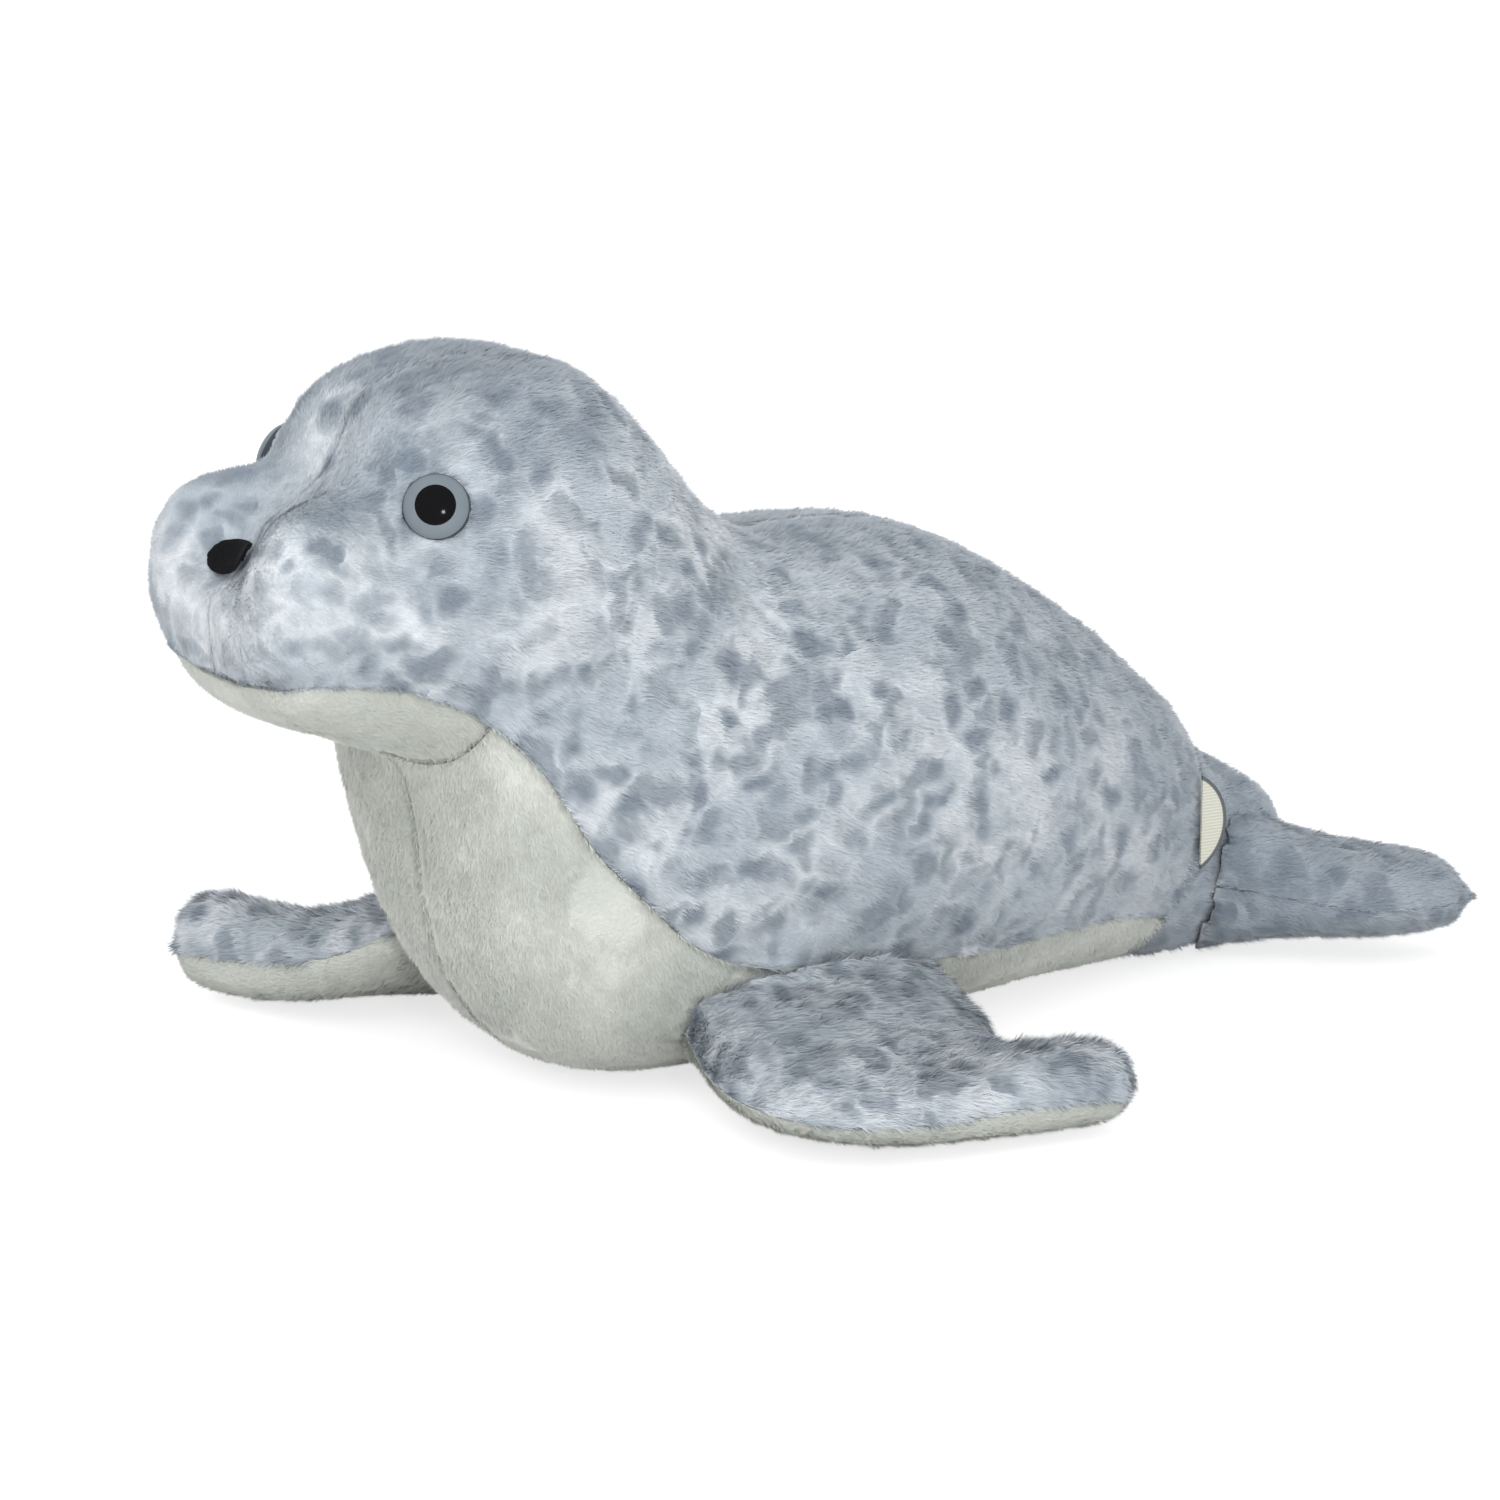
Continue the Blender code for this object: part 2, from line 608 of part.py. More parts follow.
def make_eye(side, word):
    """Eye, its washer and the hollow that they need in skin and filling."""
    placed = eye_frame(side)
    turned(f"eye_{word}", eye_profile(), placed, "eye", 0.15)
    washer_top = -SKIN + EYE_SEAT - FIT * 2
    washer_bottom = washer_top - WASHER_THICKNESS
    bore = EYE_STEM_DIAMETER / 2 + FIT
    washer = [(bore, washer_bottom), (WASHER_DIAMETER / 2, washer_bottom),
              (WASHER_DIAMETER / 2, washer_top), (bore, washer_top)]
    turned(f"eye_washer_{word}", washer, placed, "washer", 0.5)
    skin_cutter = turned(f"cut_eye_{word}", eye_profile(FIT), placed, "washer")
    room = [(0, -EYE_STEM_LENGTH - FIT), (WASHER_DIAMETER / 2 + FIT, -EYE_STEM_LENGTH - FIT),
            (WASHER_DIAMETER / 2 + FIT, FIT), (0, FIT)]
    filling_cutter = turned(f"cut_washer_{word}", room, placed, "washer")
    return skin_cutter, filling_cutter


def make_nose():
    """Satin-stitched oval nose that follows the saddle of the snout."""
    outer = []
    inner = []
    top = np.array([0.0])
    here = np.array([NOSE_STATION])
    ahead = body_surface(here + NORMAL_STEP, top) - body_surface(here - NORMAL_STEP, top)
    per_station = np.linalg.norm(ahead) / (2 * NORMAL_STEP)
    tilt = math.radians(NOSE_TILT)
    for ring in range(NOSE_RINGS):
        reach = ring / (NOSE_RINGS - 1)
        raised = NOSE_THICKNESS * (NOSE_EDGE + (1 - NOSE_EDGE) * math.sqrt(1 - reach ** 3))
        for segment in range(ROUND_SEGMENTS):
            angle = 2 * math.pi * segment / ROUND_SEGMENTS
            long = reach * NOSE_WIDTH / 2 * math.sin(angle)
            short = reach * NOSE_LENGTH / 2 * math.cos(angle)
            aside = long * math.cos(tilt) - short * math.sin(tilt)
            along = long * math.sin(tilt) + short * math.cos(tilt)
            point, normal = point_beside_top(NOSE_STATION + along / per_station, aside)
            outer.append(point + normal * (FIT + raised))
            inner.append(point + normal * FIT)
    faces = []
    count = NOSE_RINGS * ROUND_SEGMENTS
    for ring in range(NOSE_RINGS - 1):
        for segment in range(ROUND_SEGMENTS):
            after = (segment + 1) % ROUND_SEGMENTS
            for side in (0, count):
                a = side + ring * ROUND_SEGMENTS
                b = a + ROUND_SEGMENTS
                faces.append([a + segment, b + segment, b + after, a + after])
    last = (NOSE_RINGS - 1) * ROUND_SEGMENTS
    for segment in range(ROUND_SEGMENTS):
        after = (segment + 1) % ROUND_SEGMENTS
        faces.append([last + segment, last + after, count + last + after, count + last + segment])
    add_object("nose_embroidery", outer + inner, faces, "thread", 0.6)


def point_beside_top(station, aside):
    """Point and normal of the loft at a distance beside the top centre line."""
    dense = np.linspace(0, math.pi / 2, ARC_STEPS)
    line = np.full_like(dense, station)
    points = body_surface(line, dense)
    length = np.concatenate([[0], np.cumsum(np.linalg.norm(np.diff(points, axis=0), axis=1))])
    around = np.array([np.interp(abs(aside), length, dense)])
    here = np.array([station])
    point = body_surface(here, around)[0]
    normal = body_normals(here, around)[0]
    if aside < 0:
        point = point * np.array([-1, 1, 1])
        normal = normal * np.array([-1, 1, 1])
    return point, normal


def make_label():
    """Folded woven label, a segment of a disc, sewn into the left waist seam."""
    half = LABEL_HEIGHT / 2
    radius = (half ** 2 + LABEL_REACH ** 2) / (2 * LABEL_REACH)
    sweep = math.asin(min(1.0, half / radius))
    rim = []
    for step in range(LABEL_STEPS + 1):
        angle = -sweep + 2 * sweep * step / LABEL_STEPS
        rim.append((radius * math.cos(angle) - (radius - LABEL_REACH), radius * math.sin(angle)))
    root = body_surface(np.array([float(WAIST)]), np.array([math.pi / 2]))[0]
    points = []
    for depth in (0.0, LABEL_THICKNESS):
        for reach, height in rim:
            points.append((root[0] + 2 * FIT + depth + LABEL_LEAN * reach, root[1] + reach,
                           LABEL_CENTRE_Z + height))
    count = len(rim)
    faces = [list(range(count)), list(range(2 * count - 1, count - 1, -1))]
    for k in range(count):
        after = (k + 1) % count
        faces.append([k, after, count + after, count + k])
    add_object("seam_label", points, faces, "label", 0.7)


def clear_scene():
    for existing in list(bpy.data.objects):
        bpy.data.objects.remove(existing, do_unlink=True)


def centre_on_origin():
    """Move every mesh so that the seal's box is centred above the origin."""
    corners = []
    for made in bpy.data.objects:
        if not made.hide_render:
            corners += [Vector(corner) for corner in made.bound_box]
    low = np.min(corners, axis=0)
    high = np.max(corners, axis=0)
    shift = Matrix.Translation((-(low[0] + high[0]) / 2, -(low[1] + high[1]) / 2, 0))
    for made in bpy.data.objects:
        made.data.transform(shift)


def body_panels():
    """Printed sides, cream chin and belly halves, and the band round the tail."""
    def top(_station):
        return 0.0

    def bottom(_station):
        return math.pi

    def round_the_chin(station):
        return 2 * math.pi - seam_angle(station)

    for mirrored, word in ((False, "left"), (True, "right")):
        body_patch(f"body_panel_{word}", 0.0, WAIST - WAIST_SPLIT, top, seam_angle, SIDE_COLUMNS,
                   "printed", mirrored=mirrored, dip_ends=(False, True))
        body_patch(f"belly_panel_{word}", THROAT + THROAT_SPLIT, WAIST - WAIST_SPLIT, seam_angle,
                   bottom, BELLY_COLUMNS, "cream", mirrored=mirrored)
    body_patch("chin_panel", CHIN_START, THROAT - THROAT_SPLIT, seam_angle, round_the_chin,
               2 * BELLY_COLUMNS, "cream")
    body_patch("tail_band", WAIST + WAIST_SPLIT, TAIL_END - TAIL_SPLIT, lambda station: -math.pi,
               bottom, 2 * (SIDE_COLUMNS + BELLY_COLUMNS), "printed")


def main():
    clear_scene()
    body_panels()
    envelope = whole_body("cut_body", FIT, TAIL_END, "filling")
    filling = whole_body("stuffing_body", -(SKIN + FILLING_FIT), TAIL_END - 2 * TAIL_SPLIT,
                         "filling", column_step=2, floor=FLOOR + SKIN, room=SNOUT_ROOM)
    for side, word in ((1, "left"), (-1, "right")):
        skin_cutter, filling_cutter = make_eye(side, word)
        cut(bpy.data.objects[f"body_panel_{word}"], skin_cutter)
        cut(filling, filling_cutter)
        for place, limb, under in (("front", FRONT_LIMB, "cream"), ("rear", REAR_LIMB, "printed")):
            flipper = f"{place}_flipper_{word}"
            cut(flipper_panel(f"{flipper}_top", limb, side, True, "printed"), envelope)
            cut(flipper_panel(f"{flipper}_under", limb, side, False, under), envelope)
            cut(flipper_filling(f"stuffing_{flipper}", limb, side), envelope)
    make_nose()
    make_label()
    centre_on_origin()


main()
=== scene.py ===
import math

import bmesh
import bpy
import numpy as np
from mathutils import Matrix, Vector, noise
from mathutils.bvhtree import BVHTree
from mathutils.kdtree import KDTree


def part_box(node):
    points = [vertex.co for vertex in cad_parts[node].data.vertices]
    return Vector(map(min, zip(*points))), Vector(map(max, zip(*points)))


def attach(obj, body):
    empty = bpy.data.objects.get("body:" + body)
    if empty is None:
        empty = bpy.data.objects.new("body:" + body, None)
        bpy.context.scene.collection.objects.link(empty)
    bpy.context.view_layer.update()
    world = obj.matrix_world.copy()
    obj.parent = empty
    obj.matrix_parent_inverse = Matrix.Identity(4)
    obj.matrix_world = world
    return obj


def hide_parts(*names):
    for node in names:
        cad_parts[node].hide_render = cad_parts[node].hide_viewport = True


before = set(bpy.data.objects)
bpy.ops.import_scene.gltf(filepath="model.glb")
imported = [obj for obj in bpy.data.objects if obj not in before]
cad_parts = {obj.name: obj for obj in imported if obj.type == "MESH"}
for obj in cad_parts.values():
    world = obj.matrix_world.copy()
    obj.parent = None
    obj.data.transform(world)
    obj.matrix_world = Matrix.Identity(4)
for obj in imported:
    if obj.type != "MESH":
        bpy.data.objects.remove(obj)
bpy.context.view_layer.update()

# The printed sides
# Two panels of knitted plush with printed blue-grey spots, one the mirror of the other.
# They are sewn inside out along the back, head and muzzle, turned, and filled hard.
WELD = 0.00002              # points of the frame's loose triangles closer than this are one
SMOOTH_LEVELS = 2
CUT_EDGE_ANGLE = 0.9        # a panel's cut edge is sharper than this, its rounding is not
OUTSIDE_FROM = -0.4         # an outer face looks away from the filling by more than this cosine
BODY_CREASE = 1.0           # how sharp smoothing leaves a cut edge
FLIPPER_CREASE = 0.3
PILE_SINK = 0.0013          # how far the knitted ground lies under the frame's surface
SUNK_FROM = 0.8             # a surface that looks outwards by this cosine is sunk in full
SEAM_PUCKER = 0.0004
SEAM_PUCKER_REACH = 0.007
SEAM_PUCKER_PITCH = 0.008
LUMP_HEIGHT = 0.0009        # unevenness of the filling, felt through the cloth
LUMP_PITCH = 0.034
NAPE = Vector((0.0, -0.064, 0.160))
NAPE_FOLDS = 21             # as many as there would be in a full turn round the nape
NAPE_FOLD_DEPTH = 0.0017
NAPE_FOLD_FROM = 0.006
NAPE_FOLD_RISE = 0.020
NAPE_FOLD_TO = 0.080
NAPE_FOLD_FALL = 0.045
NAPE_FAN_MIDDLE = 0.55      # angle from straight down
NAPE_FAN_REACH = 0.55
NAPE_WANDER = 2.2           # how far folds stray sideways, in radians of their wave
NAPE_WANDER_PITCH = 0.03
SEWN_SHARE = 0.05           # a point is on the sewn edge if this share of its faces looks in and out
FOLD_FREE_SEAM = 0.006      # the folds die away this near to a seam
FLOOR_CLEARANCE = 0.0001
NOSE_CENTRE = np.mean(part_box("nose_embroidery"), axis=0)
SHORN_SHARE = 0.5           # length of the pile round the nose, and how far that reaches
SHORN_REACH = 0.025
REGROWN_OVER = 0.055
HEAD_ABOVE = 0.1            # a panel that reaches this high and near the nose covers the head
HEAD_NEAR_NOSE = 0.02
HEAD_FLOW_REACH = 0.11
# Pieces under which the cloth is bare, and how far the bare place reaches past them
BARE_UNDER = [("eye_left", 0.0012), ("eye_right", 0.0012), ("nose_embroidery", 0.0014)]
BARE_CORE = 0.85            # of the bare place's radius
BARE_FADE = 0.15

# Where the print is paler, alike on both sides: place on the left, reach and amount
PALE_PLACES = [
    ((0.027, -0.187, 0.147), 0.012, 0.35),
    ((0.019, -0.182, 0.158), 0.011, 0.40),
    ((0.006, -0.188, 0.136), 0.014, 0.60),
    ((0.039, -0.172, 0.140), 0.012, 0.40),
    ((0.047, -0.120, 0.164), 0.009, 0.50),
    ((0.051, -0.112, 0.152), 0.012, 0.50),
    ((0.008, -0.149, 0.181), 0.009, 0.50),
    ((0.051, -0.121, 0.137), 0.010, 0.40),
]
# and where it is darker
DARK_PLACES = [
    ((0.026, -0.168, 0.167), 0.009, 0.50),
    ((0.030, -0.147, 0.175), 0.007, 0.55),
    ((0.042, -0.121, 0.178), 0.008, 0.60),
    ((0.040, -0.103, 0.180), 0.008, 0.55),
    ((0.041, -0.152, 0.150), 0.007, 0.50),
    ((0.048, -0.136, 0.143), 0.008, 0.55),
    ((0.046, -0.134, 0.123), 0.008, 0.55),
    ((0.041, -0.151, 0.128), 0.006, 0.55),
    ((0.052, -0.107, 0.132), 0.007, 0.55),
    ((0.000, -0.115, 0.197), 0.030, 0.25),
]
UPWARD_DARKER = 0.60        # the print darkens where it faces up, above the flanks,
UPWARD_FROM = 0.04
UPWARD_OVER = 0.06
UPWARD_POWER = 1.5
REARWARD_DARKER = 0.60      # and towards the tail
REARWARD_FROM = 0.0
REARWARD_TO = 0.13
# Hollows where the filling gives way, alike on both sides: place on the left, reach, depth
HOLLOWS = [
    ((0.050, -0.106, 0.061), 0.011, 0.0020),
    ((0.045, -0.100, 0.039), 0.012, 0.0020),
    ((0.057, -0.050, 0.044), 0.013, 0.0026),
    ((0.052, -0.100, 0.126), 0.009, 0.0012),
    ((0.040, -0.050, 0.128), 0.010, 0.0020),
    ((0.040, 0.050, 0.095), 0.020, 0.0014),
    ((0.060, 0.000, 0.060), 0.018, 0.0014),
]


def colour(red, green, blue):
    """A shader colour from the eight-bit values that a screen shows."""
    def linear(value):
        value /= 255
        return value / 12.92 if value <= 0.04045 else ((value + 0.055) / 1.055) ** 2.4
    return (linear(red), linear(green), linear(blue), 1.0)


PRINT_LIGHT = colour(215, 221, 226)
PRINT_MIDDLE = colour(187, 196, 204)
PRINT_DARK = colour(142, 153, 164)
PRINT_SPOT = colour(128, 140, 152)
PRINT_PALE = colour(223, 227, 230)


def read_points(mesh):
    values = np.empty(len(mesh.vertices) * 3)
    mesh.vertices.foreach_get("co", values)
    return values.reshape(-1, 3)


def write_points(mesh, points):
    mesh.vertices.foreach_set("co", points.astype(np.float32).ravel())
    mesh.update()


def read_normals(mesh):
    values = np.empty(len(mesh.vertices) * 3, np.float32)
    mesh.vertex_normals.foreach_get("vector", values)
    return values.reshape(-1, 3).astype(float)


def store(mesh, name, kind, values):
    """Keep one value or vector for each point of a mesh under a name."""
    layer = mesh.attributes.new(name, kind, "POINT")
    layer.data.foreach_set("vector" if kind == "FLOAT_VECTOR" else "value",
                           values.astype(np.float32).ravel())


def unit(arrows):
    return arrows / np.maximum(np.linalg.norm(arrows, axis=-1, keepdims=True), 1e-9)


def filling_tree():
    """Nearest-point search on all of the filling."""
    points = []
    faces = []
    for node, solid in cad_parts.items():
        if node.startswith("stuffing"):
            start = len(points)
            points += [vertex.co.copy() for vertex in solid.data.vertices]
            faces += [[start + k for k in face.vertices] for face in solid.data.polygons]
    return BVHTree.FromPolygons(points, faces)


FILLING = filling_tree()


def mark_outside(work):
    """Mark the faces of a panel that look away from the filling."""
    outside = work.faces.layers.float.new("outside")
    for face in work.faces:
        centre = face.calc_center_median()
        away = centre - FILLING.find_nearest(centre)[0]
        face[outside] = 1.0 if face.normal.dot(away.normalized()) > OUTSIDE_FROM else 0.0


def welded(node):
    """The frame's solid with its loose triangles joined at their points."""
    work = bmesh.new()
    work.from_mesh(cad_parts[node].data)
    bmesh.ops.remove_doubles(work, verts=work.verts, dist=WELD)
    return work


def linked(name, data):
    """A new object in the scene."""
    made = bpy.data.objects.new(name, data)
    bpy.context.scene.collection.objects.link(made)
    return made


def subdivided(work, name):
    """A new object with a smoothed copy of a mesh that is being worked on."""
    mesh = bpy.data.meshes.new(name)
    work.to_mesh(mesh)
    work.free()
    made = linked(name, mesh)
    smooth = made.modifiers.new("smooth", "SUBSURF")
    smooth.levels = SMOOTH_LEVELS
    smooth.render_levels = SMOOTH_LEVELS
    apply_modifiers(made)
    made.data.shade_smooth()
    return made


def smoothed_copy(node, name):
    """The frame's panel as a welded, subdivided mesh."""
    work = welded(node)
    bmesh.ops.join_triangles(work, faces=work.faces, angle_face_threshold=math.pi,
                             angle_shape_threshold=math.pi)
    work.normal_update()
    mark_outside(work)
    crease = work.edges.layers.float.new("crease_edge")
    for edge in work.edges:
        if edge.calc_face_angle(0.0) > CUT_EDGE_ANGLE:
            edge[crease] = FLIPPER_CREASE if "flipper" in node else BODY_CREASE
    made = subdivided(work, name)
    made.data.set_sharp_from_angle(angle=CUT_EDGE_ANGLE)
    return made


def apply_modifiers(made):
    """Replace an object's mesh by what its modifiers make, and take them off."""
    bpy.context.view_layer.update()
    graph = bpy.context.evaluated_depsgraph_get()
    mesh = bpy.data.meshes.new_from_object(made.evaluated_get(graph), depsgraph=graph)
    made.modifiers.clear()
    old = made.data
    made.data = mesh
    bpy.data.meshes.remove(old)
    mesh.name = made.name


def outside_share(mesh):
    """For each point, the share of the faces round it that look outwards."""
    flags = np.empty(len(mesh.polygons))
    mesh.attributes["outside"].data.foreach_get("value", flags)
    counts = np.empty(len(mesh.polygons), int)
    mesh.polygons.foreach_get("loop_total", counts)
    corners = np.empty(len(mesh.loops), int)
    mesh.loops.foreach_get("vertex_index", corners)
    total = np.bincount(corners, np.repeat(flags, counts), len(mesh.vertices))
    return total / np.maximum(np.bincount(corners, minlength=len(mesh.vertices)), 1)


def field(points, pitch, seed):
    """Smooth noise from -1 to 1 at each point."""
    offset = Vector((seed * 7.31, seed * 3.17, seed * 5.73))
    return np.array([noise.noise(Vector(p) / pitch + offset) for p in points])


def distance_to_seam(points, share):
    """How far each point lies from the panel's sewn edge."""
    edge = np.flatnonzero((share > SEWN_SHARE) & (share < 1 - SEWN_SHARE))
    tree = KDTree(len(edge))
    for index in edge:
        tree.insert(points[index], int(index))
    tree.balance()
    return np.array([tree.find(p)[2] for p in points])


def away_from_filling(points):
    """At each point, the direction from the nearest place on the filling."""
    nearest = np.array([FILLING.find_nearest(Vector(p))[0] for p in points])
    return unit(points - nearest)


def pile_cover(points):
    """How densely the pile stands: none under the eyes and the nose."""
    cover = np.ones(len(points))
    for node, spare in BARE_UNDER:
        low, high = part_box(node)
        middle = (np.array(low) + high) / 2
        half = (np.array(high) - low) / 2 + spare
        apart = np.linalg.norm((points - middle) / half, axis=1)
        cover *= np.clip((apart - BARE_CORE) / BARE_FADE, 0, 1)
    return cover


def pile_growth(points):
    """How long the pile is for its kind: shorn short round the nose."""
    apart = np.linalg.norm(points - NOSE_CENTRE, axis=1)
    regrown = np.clip((apart - SHORN_REACH) / REGROWN_OVER, 0, 1)
    return SHORN_SHARE + (1 - SHORN_SHARE) * regrown


def nape_folds(points):
    """Depth of the folds that run from the nape down the neck."""
    across = points[:, 1] - NAPE.y
    down = NAPE.z - points[:, 2]
    reach = np.hypot(across, down)
    angle = np.arctan2(across, down)
    window = np.clip((reach - NAPE_FOLD_FROM) / NAPE_FOLD_RISE, 0, 1)
    window *= np.clip((NAPE_FOLD_TO - reach) / NAPE_FOLD_FALL, 0, 1)
    fan = np.exp(-((angle - NAPE_FAN_MIDDLE) / NAPE_FAN_REACH) ** 2)
    wave = np.sin(angle * NAPE_FOLDS + NAPE_WANDER * field(points, NAPE_WANDER_PITCH, 5))
    return NAPE_FOLD_DEPTH * window * fan * wave


def hollows(points):
    """Depth of the hollows at each point, the same on both sides."""
    side = points.copy()
    side[:, 0] = np.abs(side[:, 0])
    depth = np.zeros(len(points))
    for place, reach, amount in HOLLOWS:
        depth += amount * np.exp(-(np.linalg.norm(side - place, axis=1) / reach) ** 2)
    return depth


def print_tone(points, normals):
    """How pale (above 0) or dark (below 0) the print is at each point."""
    high = np.clip((points[:, 2] - UPWARD_FROM) / UPWARD_OVER, 0, 1)
    tone = -UPWARD_DARKER * high * np.clip(normals[:, 2], 0, 1) ** UPWARD_POWER
    rearward = (points[:, 1] - REARWARD_FROM) / (REARWARD_TO - REARWARD_FROM)
    tone -= REARWARD_DARKER * np.clip(rearward, 0, 1)
    side = points.copy()
    side[:, 0] = np.abs(side[:, 0])
    for sign, places in ((1, PALE_PLACES), (-1, DARK_PLACES)):
        for place, reach, amount in places:
            apart = np.linalg.norm(side - place, axis=1)
            tone += sign * amount * np.exp(-(apart / reach) ** 2)
    return tone


def combed(points, normals, comb):
    """Direction in which the pile lies: the panel's own, and on the head away from the nose."""
    flow = np.broadcast_to(np.array(comb, float), points.shape).copy()
    if points[:, 1].min() < NOSE_CENTRE[1] + HEAD_NEAR_NOSE and points[:, 2].max() > HEAD_ABOVE:
        apart = np.linalg.norm(points - NOSE_CENTRE, axis=1)
        near = np.exp(-(apart / HEAD_FLOW_REACH) ** 4)[:, None]
        flow = unit(flow) * (1 - near) + unit(points - NOSE_CENTRE) * near
    flow -= normals * np.sum(flow * normals, axis=1, keepdims=True)
    return unit(flow)


def sewn_panel(node, name, comb):
    """A stuffed panel: the frame's solid smoothed, sunk under its pile and wrinkled."""
    made = smoothed_copy(node, name)
    mesh = made.data
    points = read_points(mesh)
    normals = read_normals(mesh)
    share = outside_share(mesh)
    seam = distance_to_seam(points, share)
    away = away_from_filling(points)
    outer = np.clip(np.sum(normals * away, axis=1) / SUNK_FROM, 0, 1)
    near = np.exp(-(seam / SEAM_PUCKER_REACH) ** 2)
    depth = -PILE_SINK + LUMP_HEIGHT * field(points, LUMP_PITCH, 1) * (1 - near)
    depth += SEAM_PUCKER * near * field(points, SEAM_PUCKER_PITCH, 2)
    depth += nape_folds(points) * np.clip(seam / FOLD_FREE_SEAM, 0, 1)
    depth -= hollows(points)
    points = points + away * (depth * outer)[:, None]
    points[:, 2] = np.maximum(points[:, 2], FLOOR_CLEARANCE)
    write_points(mesh, points)
    normals = read_normals(mesh)
    store(mesh, "tone", "FLOAT", print_tone(points, normals))
    store(mesh, "flow", "FLOAT_VECTOR", combed(points, normals, comb))
    store(mesh, "seam", "FLOAT", seam)
    store(mesh, "cover", "FLOAT", pile_cover(points))
    store(mesh, "growth", "FLOAT", pile_growth(points))
    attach(made, "root")
    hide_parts(node)
    return made


def add_node(tree, kind, inputs=None, **settings):
    """A node with its settings, and its inputs wired to a socket or set to a value."""
    made = tree.nodes.new(kind)
    for key, value in settings.items():
        setattr(made, key, value)
    for key, value in (inputs or {}).items():
        if isinstance(value, bpy.types.NodeSocket):
            tree.links.new(value, made.inputs[key])
        else:
            made.inputs[key].default_value = value
    return made


def shader_group(name, inputs, outputs):
    """An empty node group with its sockets, and its inner input and output nodes."""
    tree = bpy.data.node_groups.new(name, "ShaderNodeTree")
    for label, kind, value in inputs:
        tree.interface.new_socket(label, in_out="INPUT", socket_type=kind).default_value = value
    for label, kind in outputs:
        tree.interface.new_socket(label, in_out="OUTPUT", socket_type=kind)
    return tree, tree.nodes.new("NodeGroupInput"), tree.nodes.new("NodeGroupOutput")


def between(tree, value, low, high):
    """A smooth step of a socket's value from 0 at low to 1 at high."""
    return add_node(tree, "ShaderNodeMapRange", {"Value": value, "From Min": low, "From Max": high},
                    interpolation_type="SMOOTHSTEP").outputs["Result"]


def blended(tree, factor, first, second, blend="MIX"):
    """The colour between two colours."""
    mix = add_node(tree, "ShaderNodeMix", {0: factor}, data_type="RGBA", blend_type=blend)
    for index, value in ((6, first), (7, second)):
        if isinstance(value, bpy.types.NodeSocket):
            tree.links.new(value, mix.inputs[index])
        else:
            mix.inputs[index].default_value = value
    return mix.outputs[2]


def times(tree, first, second, operation="MULTIPLY"):
    """The product of two values, or what another operation makes of them."""
    return add_node(tree, "ShaderNodeMath", {0: first, 1: second}, operation=operation).outputs[0]


def vectors(tree, operation, *given):
    """The result of arithmetic on vectors."""
    return add_node(tree, "ShaderNodeVectorMath", dict(enumerate(given)), operation=operation).outputs[0]


def noise_at(tree, where, scale, detail, output="Fac", **more):
    """Fractal noise at a place."""
    inputs = {"Vector": where, "Scale": scale, "Detail": detail, **more}
    return add_node(tree, "ShaderNodeTexNoise", inputs).outputs[output]


def ranged(tree, value, low, high, reach=1.0):
    """A value that runs from low to high while a socket's runs from 0 to its reach."""
    inputs = {"Value": value, "From Max": reach, "To Min": low, "To Max": high}
    return add_node(tree, "ShaderNodeMapRange", inputs).outputs["Result"]


def shaded(tree, dyed, factor):
    """A colour made paler or darker by a factor."""
    return blended(tree, 1.0, dyed, factor, "MULTIPLY")


def object_place(tree):
    return add_node(tree, "ShaderNodeTexCoord").outputs["Object"]


def stored(tree, name):
    """A value that the mesh carries under a name."""
    return add_node(tree, "ShaderNodeAttribute", attribute_name=name).outputs["Fac"]


SPOT_RIM = 0.72             # of the distance between spots
SPOT_CORE = 0.14
SPOTS_FROM = 0.10           # share of the cells without a spot, and with less than a full one
SPOTS_TO = 0.60
BLOTS_FROM = 0.50
BLOTS_TO = 0.70
BLOT_INK = 0.8
CLOUDS_FROM = 0.40
CLOUDS_TO = 0.60
PALE_IN_FULL = 0.9          # tone at which the print is wholly pale
SPOTLESS = 1.1              # tone at which it has no spots
MOST_INK = 0.92
WARP = 0.016                # how far spots are pushed out of round


